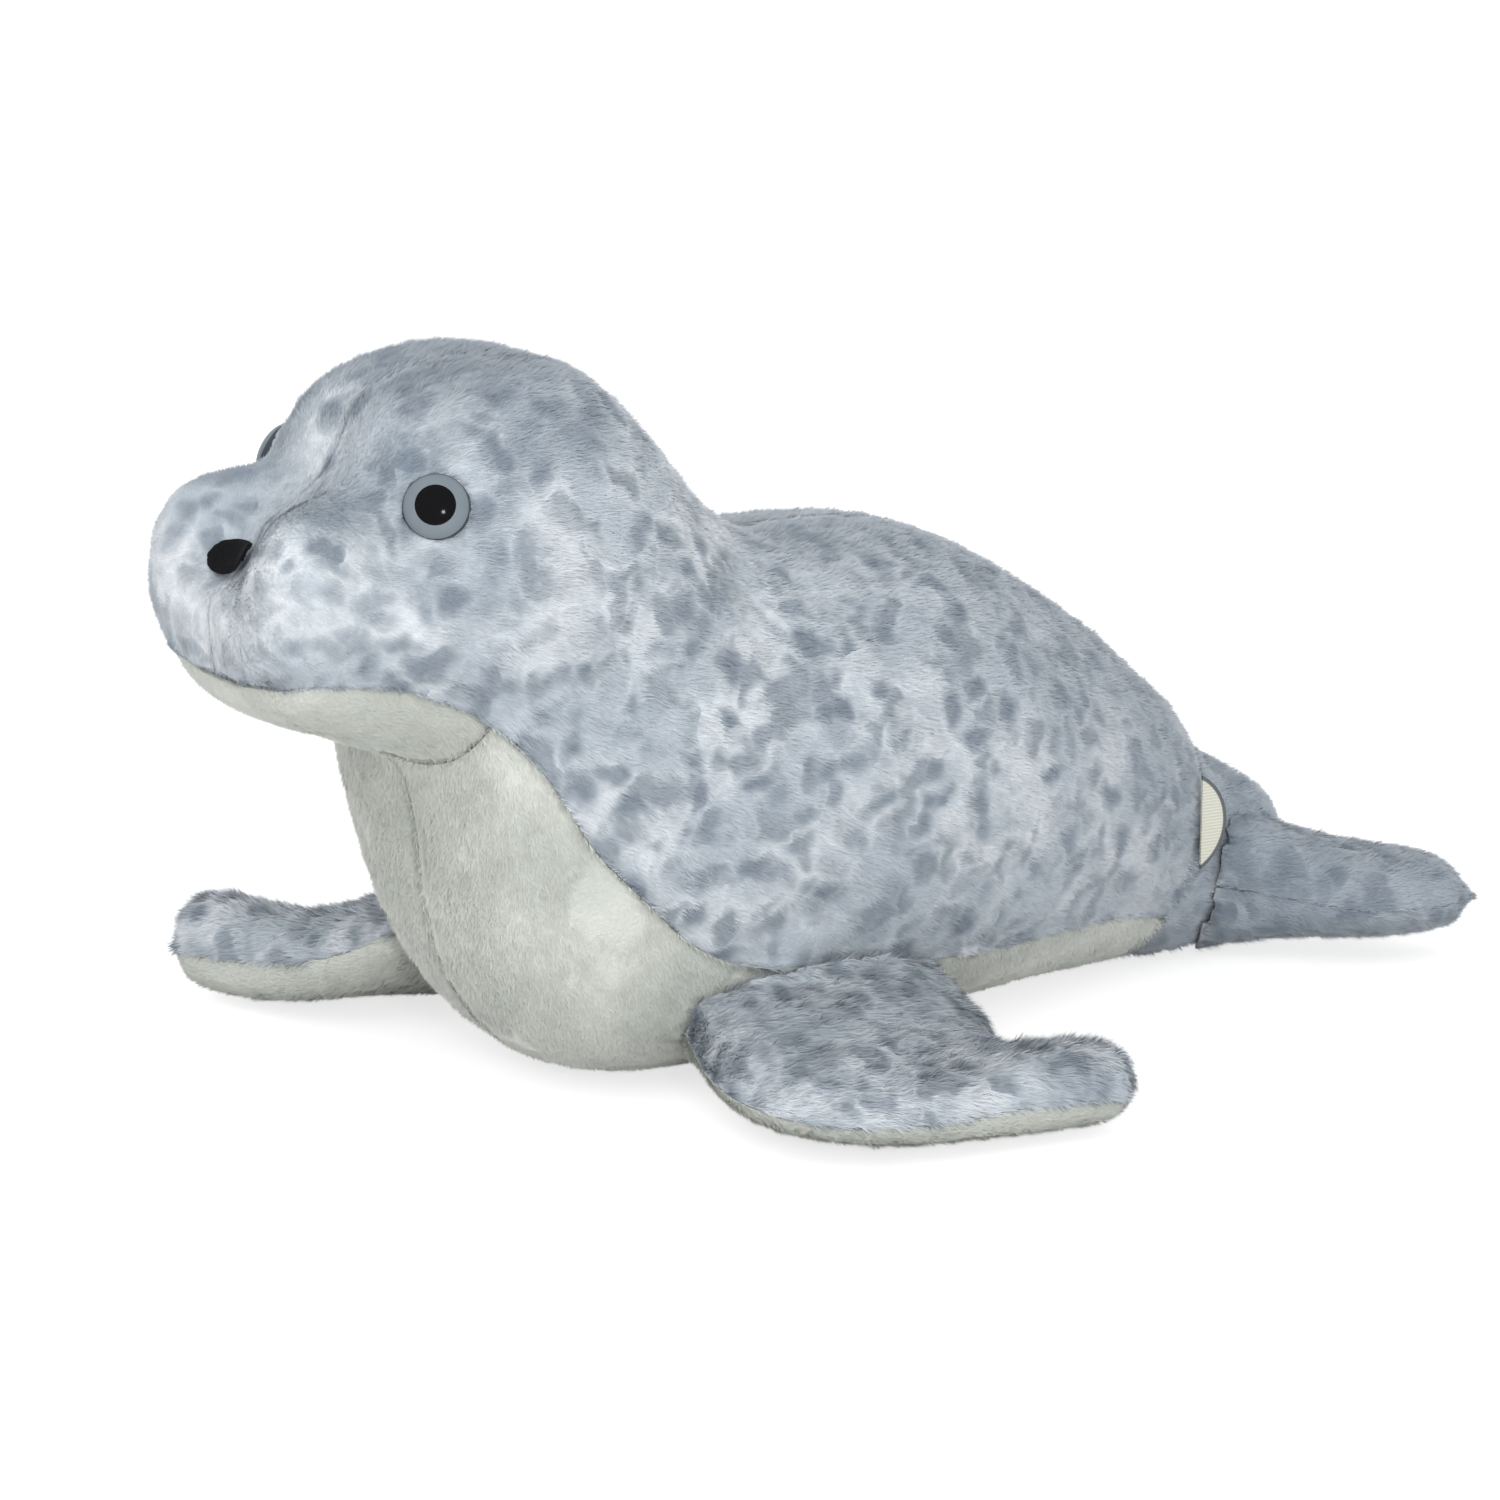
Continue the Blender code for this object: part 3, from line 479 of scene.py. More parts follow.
def spotted_print():
    """Printed spots on a clouded ground, with its pale and dark places."""
    tree, given, result = shader_group("spotted_print", [("Tone", "NodeSocketFloat", 0.0)],
                                       [("Color", "NodeSocketColor")])
    tone = given.outputs["Tone"]
    where = object_place(tree)
    warp = noise_at(tree, where, scale=70.0, detail=2.0, output="Color")
    pushed = vectors(tree, "SUBTRACT", warp, (0.5, 0.5, 0.5))
    pushed = vectors(tree, "MULTIPLY", pushed, (WARP, WARP, WARP))
    moved = vectors(tree, "ADD", where, pushed)
    clouds = noise_at(tree, moved, scale=42.0, detail=3.0, Roughness=0.6)
    blots = noise_at(tree, moved, scale=85.0, detail=1.0)
    cells = add_node(tree, "ShaderNodeTexVoronoi", {"Vector": moved, "Scale": 108.0})
    round_spot = between(tree, cells.outputs["Distance"], SPOT_RIM, SPOT_CORE)
    chosen = add_node(tree, "ShaderNodeSeparateColor", {"Color": cells.outputs["Color"]}).outputs["Red"]
    round_spot = times(tree, round_spot, between(tree, chosen, SPOTS_FROM, SPOTS_TO))
    blots = times(tree, between(tree, blots, BLOTS_FROM, BLOTS_TO), BLOT_INK)
    spots = times(tree, blots, round_spot, "MAXIMUM")
    ground = blended(tree, between(tree, clouds, CLOUDS_FROM, CLOUDS_TO), PRINT_MIDDLE, PRINT_LIGHT)
    dark = times(tree, tone, -1.0)
    ground = blended(tree, between(tree, dark, 0.0, 1.0), ground, PRINT_DARK)
    ground = blended(tree, between(tree, tone, 0.0, PALE_IN_FULL), ground, PRINT_PALE)
    ink = times(tree, between(tree, tone, SPOTLESS, 0.0), MOST_INK)
    inked = blended(tree, times(tree, spots, ink), ground, PRINT_SPOT)
    grain = noise_at(tree, where, scale=520.0, detail=2.0)
    tree.links.new(shaded(tree, inked, ranged(tree, grain, 0.90, 1.08)), result.inputs["Color"])
    return tree


ROOT_PAINTED_SHADE = 0.88           # painted shade: a fibre is darker at its root, where the pile shades it, and paler at its tip
TIP_SHADE = 1.05
FIBRE_DARKEST = 0.93
FIBRE_PALEST = 1.07
# painted shade on the cloth that shows between the fibres
GROUND_PAINTED_SHADE = (0.86, 0.86, 0.86, 1.0)
# painted shade along the seams: how dark it is on the seam, and how far from it it reaches
SEAM_PAINTED_SHADE = 0.78
SEAM_PAINTED_SHADE_REACH = 0.0014


def plush_material(name, dye, is_pile):
    """Plush: the colour of its print, with painted shade along the seams and among the pile, its nap and a
    soft sheen.
    """
    made = bpy.data.materials.new(name)
    made.use_nodes = True
    tree = made.node_tree
    shader = tree.nodes["Principled BSDF"]
    group = add_node(tree, "ShaderNodeGroup", node_tree=dye)
    if "Tone" in group.inputs:
        tree.links.new(stored(tree, "tone"), group.inputs["Tone"])
    # painted shade along the seams, on the cloth and on its pile
    shadow = ranged(tree, stored(tree, "seam"), SEAM_PAINTED_SHADE, 1.0, SEAM_PAINTED_SHADE_REACH)
    dyed = shaded(tree, group.outputs["Color"], shadow)
    if is_pile:
        # painted shade down in the pile: each fibre darker at its root
        lit = ranged(tree, stored(tree, "along"), ROOT_PAINTED_SHADE, TIP_SHADE)
        vary = ranged(tree, stored(tree, "fibre"), FIBRE_DARKEST, FIBRE_PALEST)
        dyed = shaded(tree, dyed, times(tree, lit, vary))
    else:
        # painted shade: the cloth between the fibres is darker
        dyed = shaded(tree, dyed, GROUND_PAINTED_SHADE)
        nap = noise_at(tree, object_place(tree), scale=900.0, detail=3.0)
        bump = add_node(tree, "ShaderNodeBump", {"Height": nap, "Strength": 0.5, "Distance": 0.001})
        tree.links.new(bump.outputs["Normal"], shader.inputs["Normal"])
    tree.links.new(dyed, shader.inputs["Base Color"])
    shader.inputs["Roughness"].default_value = 0.85
    shader.inputs["Specular IOR Level"].default_value = 0.15
    shader.inputs["Sheen Weight"].default_value = 0.25
    shader.inputs["Sheen Roughness"].default_value = 0.5
    return made


def geometry_group(name, inputs):
    """An empty Geometry Nodes group, its inner input sockets and its output node."""
    tree = bpy.data.node_groups.new(name, "GeometryNodeTree")
    for label, kind in [("Geometry", "Geometry"), ("Material", "Material")] + inputs:
        tree.interface.new_socket(label, in_out="INPUT", socket_type=f"NodeSocket{kind}")
    tree.interface.new_socket("Geometry", in_out="OUTPUT", socket_type="NodeSocketGeometry")
    return tree, tree.nodes.new("NodeGroupInput").outputs, tree.nodes.new("NodeGroupOutput")


def end_group(tree, geometry, given, result):
    """End a group with a plain mesh in the material that is given to it."""
    real = add_node(tree, "GeometryNodeRealizeInstances", {"Geometry": geometry})
    painted = add_node(tree, "GeometryNodeSetMaterial",
                       {"Geometry": real.outputs[0], "Material": given["Material"]})
    tree.links.new(painted.outputs[0], result.inputs[0])


def apply_group(made, tree, values):
    """Run a Geometry Nodes group on an object with these inputs, and keep its plain mesh."""
    run = made.modifiers.new(tree.name, "NODES")
    run.node_group = tree
    for item in tree.interface.items_tree:
        if item.in_out == "INPUT" and item.name in values:
            run[item.identifier] = values[item.name]
    apply_modifiers(made)


def scaled(tree, vector, factor):
    inputs = {0: vector, "Scale": factor}
    return add_node(tree, "ShaderNodeVectorMath", inputs, operation="SCALE").outputs[0]


def carried(tree, name, kind="FLOAT"):
    """A value or vector that the mesh carries under a name."""
    return add_node(tree, "GeometryNodeInputNamedAttribute", {"Name": name},
                    data_type=kind).outputs["Attribute"]


def drawn(tree, low, high, seed):
    """A random value for each fibre."""
    return add_node(tree, "FunctionNodeRandomValue", {2: low, 3: high, "Seed": seed},
                    data_type="FLOAT").outputs[1]


def kept(tree, geometry, name, value, kind="FLOAT"):
    """A geometry that carries a value or vector under a name."""
    inputs = {"Geometry": geometry, "Name": name, "Value": value}
    return add_node(tree, "GeometryNodeStoreNamedAttribute", inputs, data_type=kind).outputs[0]


TRIANGLE_HEIGHT = 1.5       # of the triangle in a circle of radius 1
TRIANGLE_WIDTH = math.sqrt(3)
LOCK_SCALE = 210.0          # locks: fibres that lean the same way
LOCK_LEAN = 1.6
LOCK_SHADING = 0.45
MOST_TWIST = 0.4
SHORTEST_FIBRE = 0.65       # of the pile's length
LONGEST_FIBRE = 1.15
MOST_FIBRES = 190000
MAP_AXIS_SHARE = 0.2        # the map's angles are taken round an axis near the middle,
MAP_AXIS_BELOW = 0.01       # this far under the panel


def pile_nodes():
    """Geometry Nodes that plant one tapered fibre at each point spread over a panel."""
    tree, given, result = geometry_group("pile", [
        ("Density", "Float"), ("Length", "Float"), ("Width", "Float"), ("Upright", "Float"),
        ("Tousle", "Float"), ("Seed", "Int")])
    is_outside = add_node(tree, "FunctionNodeCompare", {0: carried(tree, "outside"), 1: 0.5},
                          data_type="FLOAT", operation="GREATER_THAN").outputs[0]
    density = times(tree, given["Density"], carried(tree, "cover"))
    spread = add_node(tree, "GeometryNodeDistributePointsOnFaces",
                      {"Mesh": given["Geometry"], "Selection": is_outside,
                       "Density": density, "Seed": given["Seed"]})
    outward = spread.outputs["Normal"]
    where = add_node(tree, "GeometryNodeInputPosition").outputs[0]
    loose = add_node(tree, "FunctionNodeRandomValue", {0: (-1.0, -1.0, -1.0), 1: (1.0, 1.0, 1.0),
                                                       "Seed": 11}, data_type="FLOAT_VECTOR").outputs[0]
    locks = noise_at(tree, where, scale=LOCK_SCALE, detail=1.0, output="Color")
    locks = scaled(tree, vectors(tree, "SUBTRACT", locks, (0.5, 0.5, 0.5)), LOCK_LEAN)
    lean = vectors(tree, "ADD", carried(tree, "flow", "FLOAT_VECTOR"),
                   scaled(tree, outward, given["Upright"]))
    lean = vectors(tree, "ADD", lean, scaled(tree, loose, given["Tousle"]))
    lean = vectors(tree, "ADD", lean, locks)
    aimed = add_node(tree, "FunctionNodeAlignRotationToVector", {"Vector": lean}, axis="Z")
    faced = add_node(tree, "FunctionNodeAlignRotationToVector",
                     {"Rotation": aimed.outputs[0], "Vector": scaled(tree, outward, -1.0)},
                     axis="X", pivot_axis="Z")
    twist = add_node(tree, "FunctionNodeAxisAngleToRotation",
                     {"Axis": (0.0, 0.0, 1.0), "Angle": drawn(tree, -MOST_TWIST, MOST_TWIST, 12)})
    turned = add_node(tree, "FunctionNodeRotateRotation",
                      {"Rotation": faced.outputs[0], "Rotate By": twist.outputs[0]},
                      rotation_space="LOCAL")
    tufted = vectors(tree, "ADD", outward, scaled(tree, locks, LOCK_SHADING))
    points = kept(tree, spread.outputs["Points"], "root_normal",
                  vectors(tree, "NORMALIZE", tufted), "FLOAT_VECTOR")
    points = kept(tree, points, "fibre", drawn(tree, 0.0, 1.0, 14))
    triangle = add_node(tree, "GeometryNodeMeshCircle", {"Vertices": 3, "Radius": 1.0}, fill_type="NGON")
    based = add_node(tree, "GeometryNodeTransform",
                     {"Geometry": triangle.outputs[0], "Translation": (0.5, 0.0, 0.0)})
    height = add_node(tree, "ShaderNodeSeparateXYZ", {0: where}).outputs["X"]
    based = kept(tree, based.outputs[0], "along", times(tree, height, TRIANGLE_HEIGHT, "DIVIDE"))
    size = add_node(tree, "ShaderNodeCombineXYZ",
                    {"X": times(tree, given["Length"], TRIANGLE_HEIGHT, "DIVIDE"),
                     "Y": times(tree, given["Width"], TRIANGLE_WIDTH, "DIVIDE"), "Z": 1.0})
    fibre = add_node(tree, "GeometryNodeTransform",
                     {"Geometry": based, "Rotation": (0.0, -math.pi / 2, 0.0), "Scale": size.outputs[0]})
    growth = times(tree, drawn(tree, SHORTEST_FIBRE, LONGEST_FIBRE, 13), carried(tree, "growth"))
    planted = add_node(tree, "GeometryNodeInstanceOnPoints",
                       {"Points": points, "Instance": fibre.outputs[0],
                        "Rotation": turned.outputs[0], "Scale": growth})
    end_group(tree, planted.outputs[0], given, result)
    return tree


PILE = pile_nodes()


def panel_area(mesh):
    """Area of a panel's outer face."""
    flags = np.empty(len(mesh.polygons))
    mesh.attributes["outside"].data.foreach_get("value", flags)
    areas = np.empty(len(mesh.polygons))
    mesh.polygons.foreach_get("area", areas)
    return float(areas[flags > 0.5].sum())


def bake_map(mesh):
    """A map on which a fibre's colour lies by its place along and round the body."""
    points = read_points(mesh)
    corners = np.empty(len(mesh.loops), int)
    mesh.loops.foreach_get("vertex_index", corners)
    low = points.min(axis=0)
    span = np.maximum(points.max(axis=0) - low, 1e-6)
    wide = 1 if span[1] >= span[0] else 0
    other = 1 - wide
    middle = low + span / 2
    angle = np.arctan2(points[:, other] - middle[other] * MAP_AXIS_SHARE,
                       points[:, 2] - low[2] + MAP_AXIS_BELOW)
    angle = (angle - angle.min()) / max(np.ptp(angle), 1e-6)
    flat = np.column_stack([(points[:, wide] - low[wide]) / span[wide], angle])
    layer = mesh.uv_layers.new(name="OFBake")
    layer.data.foreach_set("uv", flat[corners].astype(np.float32).ravel())


def grow_pile(panel, name, slot, material, density, length, width, upright, tousle, seed):
    """The pile of one panel, planted on its outer face."""
    made = linked(name, panel.data.copy())
    area = panel_area(panel.data)
    count = min(density * area, MOST_FIBRES)
    apply_group(made, PILE, {"Density": count / area, "Length": length, "Width": width,
                             "Upright": upright, "Tousle": tousle, "Seed": seed, "Material": material})
    mesh = made.data
    points = read_points(mesh)
    points[:, 2] = np.maximum(points[:, 2], FLOOR_CLEARANCE)
    write_points(mesh, points)
    normals = np.empty(len(mesh.vertices) * 3, np.float32)
    mesh.attributes["root_normal"].data.foreach_get("vector", normals)
    mesh.shade_smooth()
    mesh.normals_split_custom_set_from_vertices(normals.reshape(-1, 3))
    for spare in ("root_normal", "flow", "cover", "growth", "outside"):
        if spare in mesh.attributes:
            mesh.attributes.remove(mesh.attributes[spare])
    bake_map(mesh)
    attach(made, "root")


def plush(node, word, kind, comb, pile, seed):
    """Cloth and pile of one panel of a kind of plush."""
    slot, ground, fibres = kind
    panel = sewn_panel(node, f"{word}_cloth", comb)
    panel.data.materials.clear()
    panel.data.materials.append(ground)
    grow_pile(panel, f"{word}_pile", slot, fibres, seed=seed, **pile)


SPOTTED_PRINT = spotted_print()
PRINTED = ("printed_plush", plush_material("printed_cloth", SPOTTED_PRINT, is_pile=False),
           plush_material("printed_pile", SPOTTED_PRINT, is_pile=True))
LONG_PILE = dict(density=5.0e6, length=0.0028, width=0.00036, upright=0.42, tousle=0.32)
BODY_COMB = (0.0, 1.0, -0.45)
for number, side in enumerate(("left", "right")):
    plush(f"body_panel_{side}", f"body_{side}", PRINTED, BODY_COMB, LONG_PILE, seed=21 + number)

# The cream underside
# Two belly panels and one chin panel of undyed plush with a shorter pile.  They are sewn
# to the printed sides, and to each other along the chest and the belly.
CREAM_LIGHT = colour(212, 215, 208)
CREAM_SHADE = colour(198, 202, 195)


def cream_cloth():
    """Undyed cream cloth with faint clouds."""
    tree, _given, result = shader_group("cream_cloth", [], [("Color", "NodeSocketColor")])
    where = object_place(tree)
    clouds = noise_at(tree, where, scale=38.0, detail=4.0)
    ground = blended(tree, between(tree, clouds, 0.35, 0.65), CREAM_SHADE, CREAM_LIGHT)
    grain = noise_at(tree, where, scale=700.0, detail=2.0)
    tree.links.new(shaded(tree, ground, ranged(tree, grain, 0.92, 1.06)), result.inputs["Color"])
    return tree


CREAM_CLOTH = cream_cloth()
CREAM = ("cream_plush", plush_material("cream_ground", CREAM_CLOTH, is_pile=False),
         plush_material("cream_pile", CREAM_CLOTH, is_pile=True))
SHORT_PILE = dict(density=4.5e6, length=0.0019, width=0.00034, upright=0.55, tousle=0.32)
BELLY_COMB = (0.0, 0.35, -1.0)
CHIN_COMB = (0.0, 1.0, 0.0)
for number, side in enumerate(("left", "right")):
    plush(f"belly_panel_{side}", f"belly_{side}", CREAM, BELLY_COMB, SHORT_PILE, seed=31 + number)
plush("chin_panel", "chin", CREAM, CHIN_COMB, SHORT_PILE, seed=33)

# The tail
# A band of the printed plush closes the narrow end of the body, and holds the roots
# of two rear flippers, each sewn from two printed panels and lightly stuffed.
TAIL_COMB = (0.0, 1.0, -0.2)
plush("tail_band", "tail", PRINTED, TAIL_COMB, LONG_PILE, seed=41)
for number, (side, sign) in enumerate((("left", 1), ("right", -1))):
    for part in ("top", "under"):
        plush(f"rear_flipper_{side}_{part}", f"rear_{side}_{part}", PRINTED, (0.5 * sign, 0.85, 0.0),
              LONG_PILE, seed=43 + 2 * number + (part == "top"))

# The closing piece of the tail
# A small piece of the printed plush over the filling at the end of the tail, between the
# two rear flippers.  It is sewn on by hand last, once the body is filled.
CLOSING_DEPTH = 0.016       # how much of the filling's end it covers
CLOSING_LIFT = 0.0010
CLOSING_COMB = (0.0, 0.3, -1.0)


def closing_piece():
    """Cloth over the end of the filling."""
    work = welded("stuffing_body")
    end = max(vertex.co.y for vertex in work.verts)
    spare = [face for face in work.faces if face.calc_center_median().y < end - CLOSING_DEPTH]
    bmesh.ops.delete(work, geom=spare, context="FACES")
    work.normal_update()
    lifted = [(vertex, vertex.co + vertex.normal * CLOSING_LIFT) for vertex in work.verts]
    for vertex, place in lifted:
        vertex.co = place
    outside = work.faces.layers.float.new("outside")
    for face in work.faces:
        face[outside] = 1.0
    made = subdivided(work, "tail_end_cloth")
    mesh = made.data
    points = read_points(mesh)
    normals = read_normals(mesh)
    store(mesh, "tone", "FLOAT", print_tone(points, normals))
    store(mesh, "flow", "FLOAT_VECTOR", combed(points, normals, CLOSING_COMB))
    for name in ("seam", "cover", "growth"):
        store(mesh, name, "FLOAT", np.ones(len(points)))
    slot, ground, fibres = PRINTED
    mesh.materials.clear()
    mesh.materials.append(ground)
    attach(made, "root")
    grow_pile(made, "tail_end_pile", slot, fibres, seed=48, **LONG_PILE)


closing_piece()

# The front flippers
# Each is a printed upper panel, whose pile is left longer, over a cream lower panel.
# They are stuffed thinly and sewn to the body's sides.
SHAGGY_PILE = dict(density=5.5e6, length=0.0038, width=0.00036, upright=0.45, tousle=0.36)
FRONT_COMBS = {"left": (0.8, 0.55, -0.1), "right": (-0.45, -0.9, -0.1)}
for number, (side, comb) in enumerate(FRONT_COMBS.items()):
    plush(f"front_flipper_{side}_top", f"front_{side}_top", PRINTED, comb, SHAGGY_PILE,
          seed=51 + 2 * number)
    plush(f"front_flipper_{side}_under", f"front_{side}_under", CREAM, comb, SHORT_PILE,
          seed=52 + 2 * number)

# The filling
# Loose white polyester fibre, stuffed into the body and into each flipper before the
# last seam is closed.  Each filling is one solid here, and its cloth lies over it.
GRAIN_DARKEST = 0.9         # of a plain material's colour
GRAIN_PALEST = 1.1
GRAIN_GLOSSIEST = 0.85      # of its roughness
GRAIN_DULLEST = 1.15


def plain_material(name, base, roughness, grain_scale=300.0, bump_depth=None, **sockets):
    """A material with a faint grain in its colour, its gloss and, with a depth, its surface."""
    made = bpy.data.materials.new(name)
    made.use_nodes = True
    tree = made.node_tree
    shader = tree.nodes["Principled BSDF"]
    grain = noise_at(tree, object_place(tree), grain_scale, detail=3.0)
    varied = shaded(tree, base, ranged(tree, grain, GRAIN_DARKEST, GRAIN_PALEST))
    tree.links.new(varied, shader.inputs["Base Color"])
    gloss = ranged(tree, grain, roughness * GRAIN_GLOSSIEST, min(roughness * GRAIN_DULLEST, 1.0))
    tree.links.new(gloss, shader.inputs["Roughness"])
    if bump_depth:
        bump = add_node(tree, "ShaderNodeBump", {"Height": grain, "Strength": 0.6, "Distance": bump_depth})
        tree.links.new(bump.outputs["Normal"], shader.inputs["Normal"])
    for label, value in sockets.items():
        shader.inputs[label.replace("_", " ")].default_value = value
    return made


def dress(node, material):
    """Give a piece of the frame its finish."""
    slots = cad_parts[node].data.materials
    slots.clear()
    slots.append(material)


FILLING_FIBRE = plain_material("filling_fibre", colour(240, 240, 238), 0.9, grain_scale=260.0,
                               bump_depth=0.002, Sheen_Weight=0.3)
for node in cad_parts:
    if node.startswith("stuffing"):
        dress(node, FILLING_FIBRE)

# The eyes
# Moulded plastic caps with a polished dome: a black pupil in a grey iris with a thin
# dark edge.  The stem goes through the cloth, and a plastic washer locks it inside.
EYE_SIDES = 96
EYE_RINGS = 24
PUPIL_SHARE = 0.60          # of the eye's radius
IRIS_EDGE_SHARE = 0.965
EYE_RIM_SHARE = 0.99        # points this far out, of the radius, are on the rim
EYE_EDGE_UP = 0.0002        # the back's edge is broken by this much
EYE_EDGE_IN = 0.0003
STEM_BELOW = 0.002          # what is this far behind the back is stem
EYE_SHARP_ANGLE = math.radians(50)
EYE_GREY = colour(110, 119, 126)
EYE_BLACK = colour(8, 8, 10)
EYE_EDGE = colour(62, 69, 76)
PUPIL = plain_material("pupil", EYE_BLACK, 0.09, Specular_IOR_Level=0.1)
IRIS = plain_material("iris", EYE_GREY, 0.35, Specular_IOR_Level=0.15)
IRIS_EDGE = plain_material("iris_edge", EYE_EDGE, 0.4, Specular_IOR_Level=0.15)


def eye_axis(side):
    """Centre of the washer and the direction in which the eye looks."""
    washer = read_points(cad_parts[f"eye_washer_{side}"].data)
    centre = washer.mean(axis=0)
    _, _, rows = np.linalg.svd(washer - centre, full_matrices=False)
    out = rows[2]
    eye = read_points(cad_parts[f"eye_{side}"].data)
    heights = (eye - centre) @ out
    if abs(heights.min()) < abs(heights.max()):
        return centre, out, eye
    return centre, -out, eye


def make_eye(side):
    """A smooth domed eye in the place of the frame's faceted one."""
    centre, out, solid = eye_axis(side)
    heights = (solid - centre) @ out
    apart = np.linalg.norm(solid - centre - np.outer(heights, out), axis=1)
    radius = apart.max()
    apex = heights.max()
    on_rim = apart > radius * EYE_RIM_SHARE
    rim = heights[on_rim].max()
    back = heights[on_rim].min()
    stem_end = heights.min()
    stem = apart[heights < back - STEM_BELOW].max()
    dome = apex - rim
    profile = []
    for ring in range(EYE_RINGS + 1):
        angle = math.pi / 2 * ring / EYE_RINGS
        profile.append((radius * math.sin(angle), rim + dome * math.cos(angle)))
    profile += [(radius, back + EYE_EDGE_UP), (radius - EYE_EDGE_IN, back), (stem, back),
                (stem, stem_end), (0, stem_end)]
    mesh = bpy.data.meshes.new(f"eye_{side}_cap")
    work = bmesh.new()
    turn = Vector(out).to_track_quat("Z", "Y").to_matrix().to_4x4()
    turn.translation = Vector(centre)
    rings = []
    for distance, height in profile:
        if distance == 0:
            rings.append([work.verts.new(turn @ Vector((0, 0, height)))])
            continue
        ring = []
        for step in range(EYE_SIDES):
            angle = math.tau * step / EYE_SIDES
            place = Vector((distance * math.cos(angle), distance * math.sin(angle), height))
            ring.append(work.verts.new(turn @ place))
        rings.append(ring)
    for number, (inner, outer) in enumerate(zip(rings, rings[1:])):
        middle = (profile[number][0] + profile[number + 1][0]) / 2 / radius
        if middle < PUPIL_SHARE and number < EYE_RINGS:
            zone = 0
        elif middle < IRIS_EDGE_SHARE and number < EYE_RINGS:
            zone = 1
        else:
            zone = 2
        for step in range(EYE_SIDES):
            after = (step + 1) % EYE_SIDES
            corners = [inner[step % len(inner)], outer[step % len(outer)],
                       outer[after % len(outer)], inner[after % len(inner)]]
            face = work.faces.new(list(dict.fromkeys(corners)))
            face.material_index = zone
            face.smooth = True
    bmesh.ops.recalc_face_normals(work, faces=work.faces)
    work.to_mesh(mesh)
    work.free()
    mesh.set_sharp_from_angle(angle=EYE_SHARP_ANGLE)
    made = linked(f"eye_{side}_cap", mesh)
    for material in (PUPIL, IRIS, IRIS_EDGE):
        mesh.materials.append(material)
    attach(made, "root")
    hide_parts(f"eye_{side}")


WASHER_PLASTIC = plain_material("washer_plastic", colour(232, 231, 226), 0.5, grain_scale=900.0,
                                bump_depth=0.0002)
for side in ("left", "right"):
    make_eye(side)
    dress(f"eye_washer_{side}", WASHER_PLASTIC)

# The nose
# Black thread in satin stitch, worked through the cloth: parallel strands side by side
# over the muzzle's seam, from the upper to the lower edge of an oval.
THREAD_RADIUS = 0.00030
THREAD_PITCH = 0.00042
THREAD_STEPS = 12
THREAD_SIDES = 6
THREAD_LIFT = 0.6           # of its radius, over the frame's oval
THREAD_DIVE = 0.0004        # a strand's ends go down into the cloth by this much,
DIVE_FROM = 0.8             # from this share of its half length on
DIVE_OVER = 0.2
OVAL_SHARE = 0.98           # of the oval's width that the strands cover
SHORTEST_STRAND = 0.02      # square of the outermost strands' share of the oval's width
RAY_START = 0.01
THREAD = plain_material("black_thread", colour(10, 11, 13), 0.6, grain_scale=2500.0, bump_depth=0.0001,
                        Specular_IOR_Level=0.12)
dress("nose_embroidery", THREAD)


def nose_frame():
    """Centre, long and short direction and outward normal of the stitched oval."""
    points = read_points(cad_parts["nose_embroidery"].data)
    centre = points.mean(axis=0)
    _, _, rows = np.linalg.svd(points - centre, full_matrices=False)
    long, short, out = rows
    if out[1] > 0:
        out = -out
    return points, centre, long, short, out


def strand_nodes():
    """Geometry Nodes that turn each drawn line into a round strand."""
    tree, given, result = geometry_group("strands", [("Radius", "Float")])
    line = add_node(tree, "GeometryNodeMeshToCurve", {"Mesh": given["Geometry"]})
    section = add_node(tree, "GeometryNodeCurvePrimitiveCircle",
                       {"Resolution": THREAD_SIDES, "Radius": given["Radius"]})
    tube = add_node(tree, "GeometryNodeCurveToMesh",
                    {"Curve": line.outputs[0], "Profile Curve": section.outputs[0], "Fill Caps": True})
    end_group(tree, tube.outputs[0], given, result)
    return tree


def stitch_nose():
    """Lay the strands over the frame's oval."""
    points, centre, long, short, out = nose_frame()
    reach_long = np.abs((points - centre) @ long).max()
    reach_short = np.abs((points - centre) @ short).max()
    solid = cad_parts["nose_embroidery"].data
    surface = BVHTree.FromPolygons([v.co.copy() for v in solid.vertices],
                                   [list(face.vertices) for face in solid.polygons])
    vertices = []
    edges = []
    count = int(2 * reach_long / THREAD_PITCH)
    for strand in range(count):
        place = -reach_long + (strand + 0.5) * 2 * reach_long / count
        narrowed = math.sqrt(max(1 - (place / reach_long) ** 2, SHORTEST_STRAND))
        half = reach_short * narrowed * OVAL_SHARE
        row = []
        for step in range(THREAD_STEPS + 1):
            along = -1 + 2 * step / THREAD_STEPS
            target = centre + long * place + short * half * along
            hit = surface.ray_cast(Vector(target + out * RAY_START), Vector(-out))[0]
            if hit is None:
                hit = surface.find_nearest(Vector(target))[0]
            sunk = THREAD_DIVE * max(abs(along) - DIVE_FROM, 0) / DIVE_OVER
            row.append(np.array(hit) + out * (THREAD_RADIUS * THREAD_LIFT - sunk))
        start = len(vertices)
        vertices += row
        edges += [(start + k, start + k + 1) for k in range(THREAD_STEPS)]
    mesh = bpy.data.meshes.new("nose_strands")
    mesh.from_pydata([tuple(v) for v in vertices], edges, [])
    made = linked("nose_strands", mesh)
    apply_group(made, strand_nodes(), {"Radius": THREAD_RADIUS, "Material": THREAD})
    made.data.shade_smooth()
    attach(made, "root")


stitch_nose()

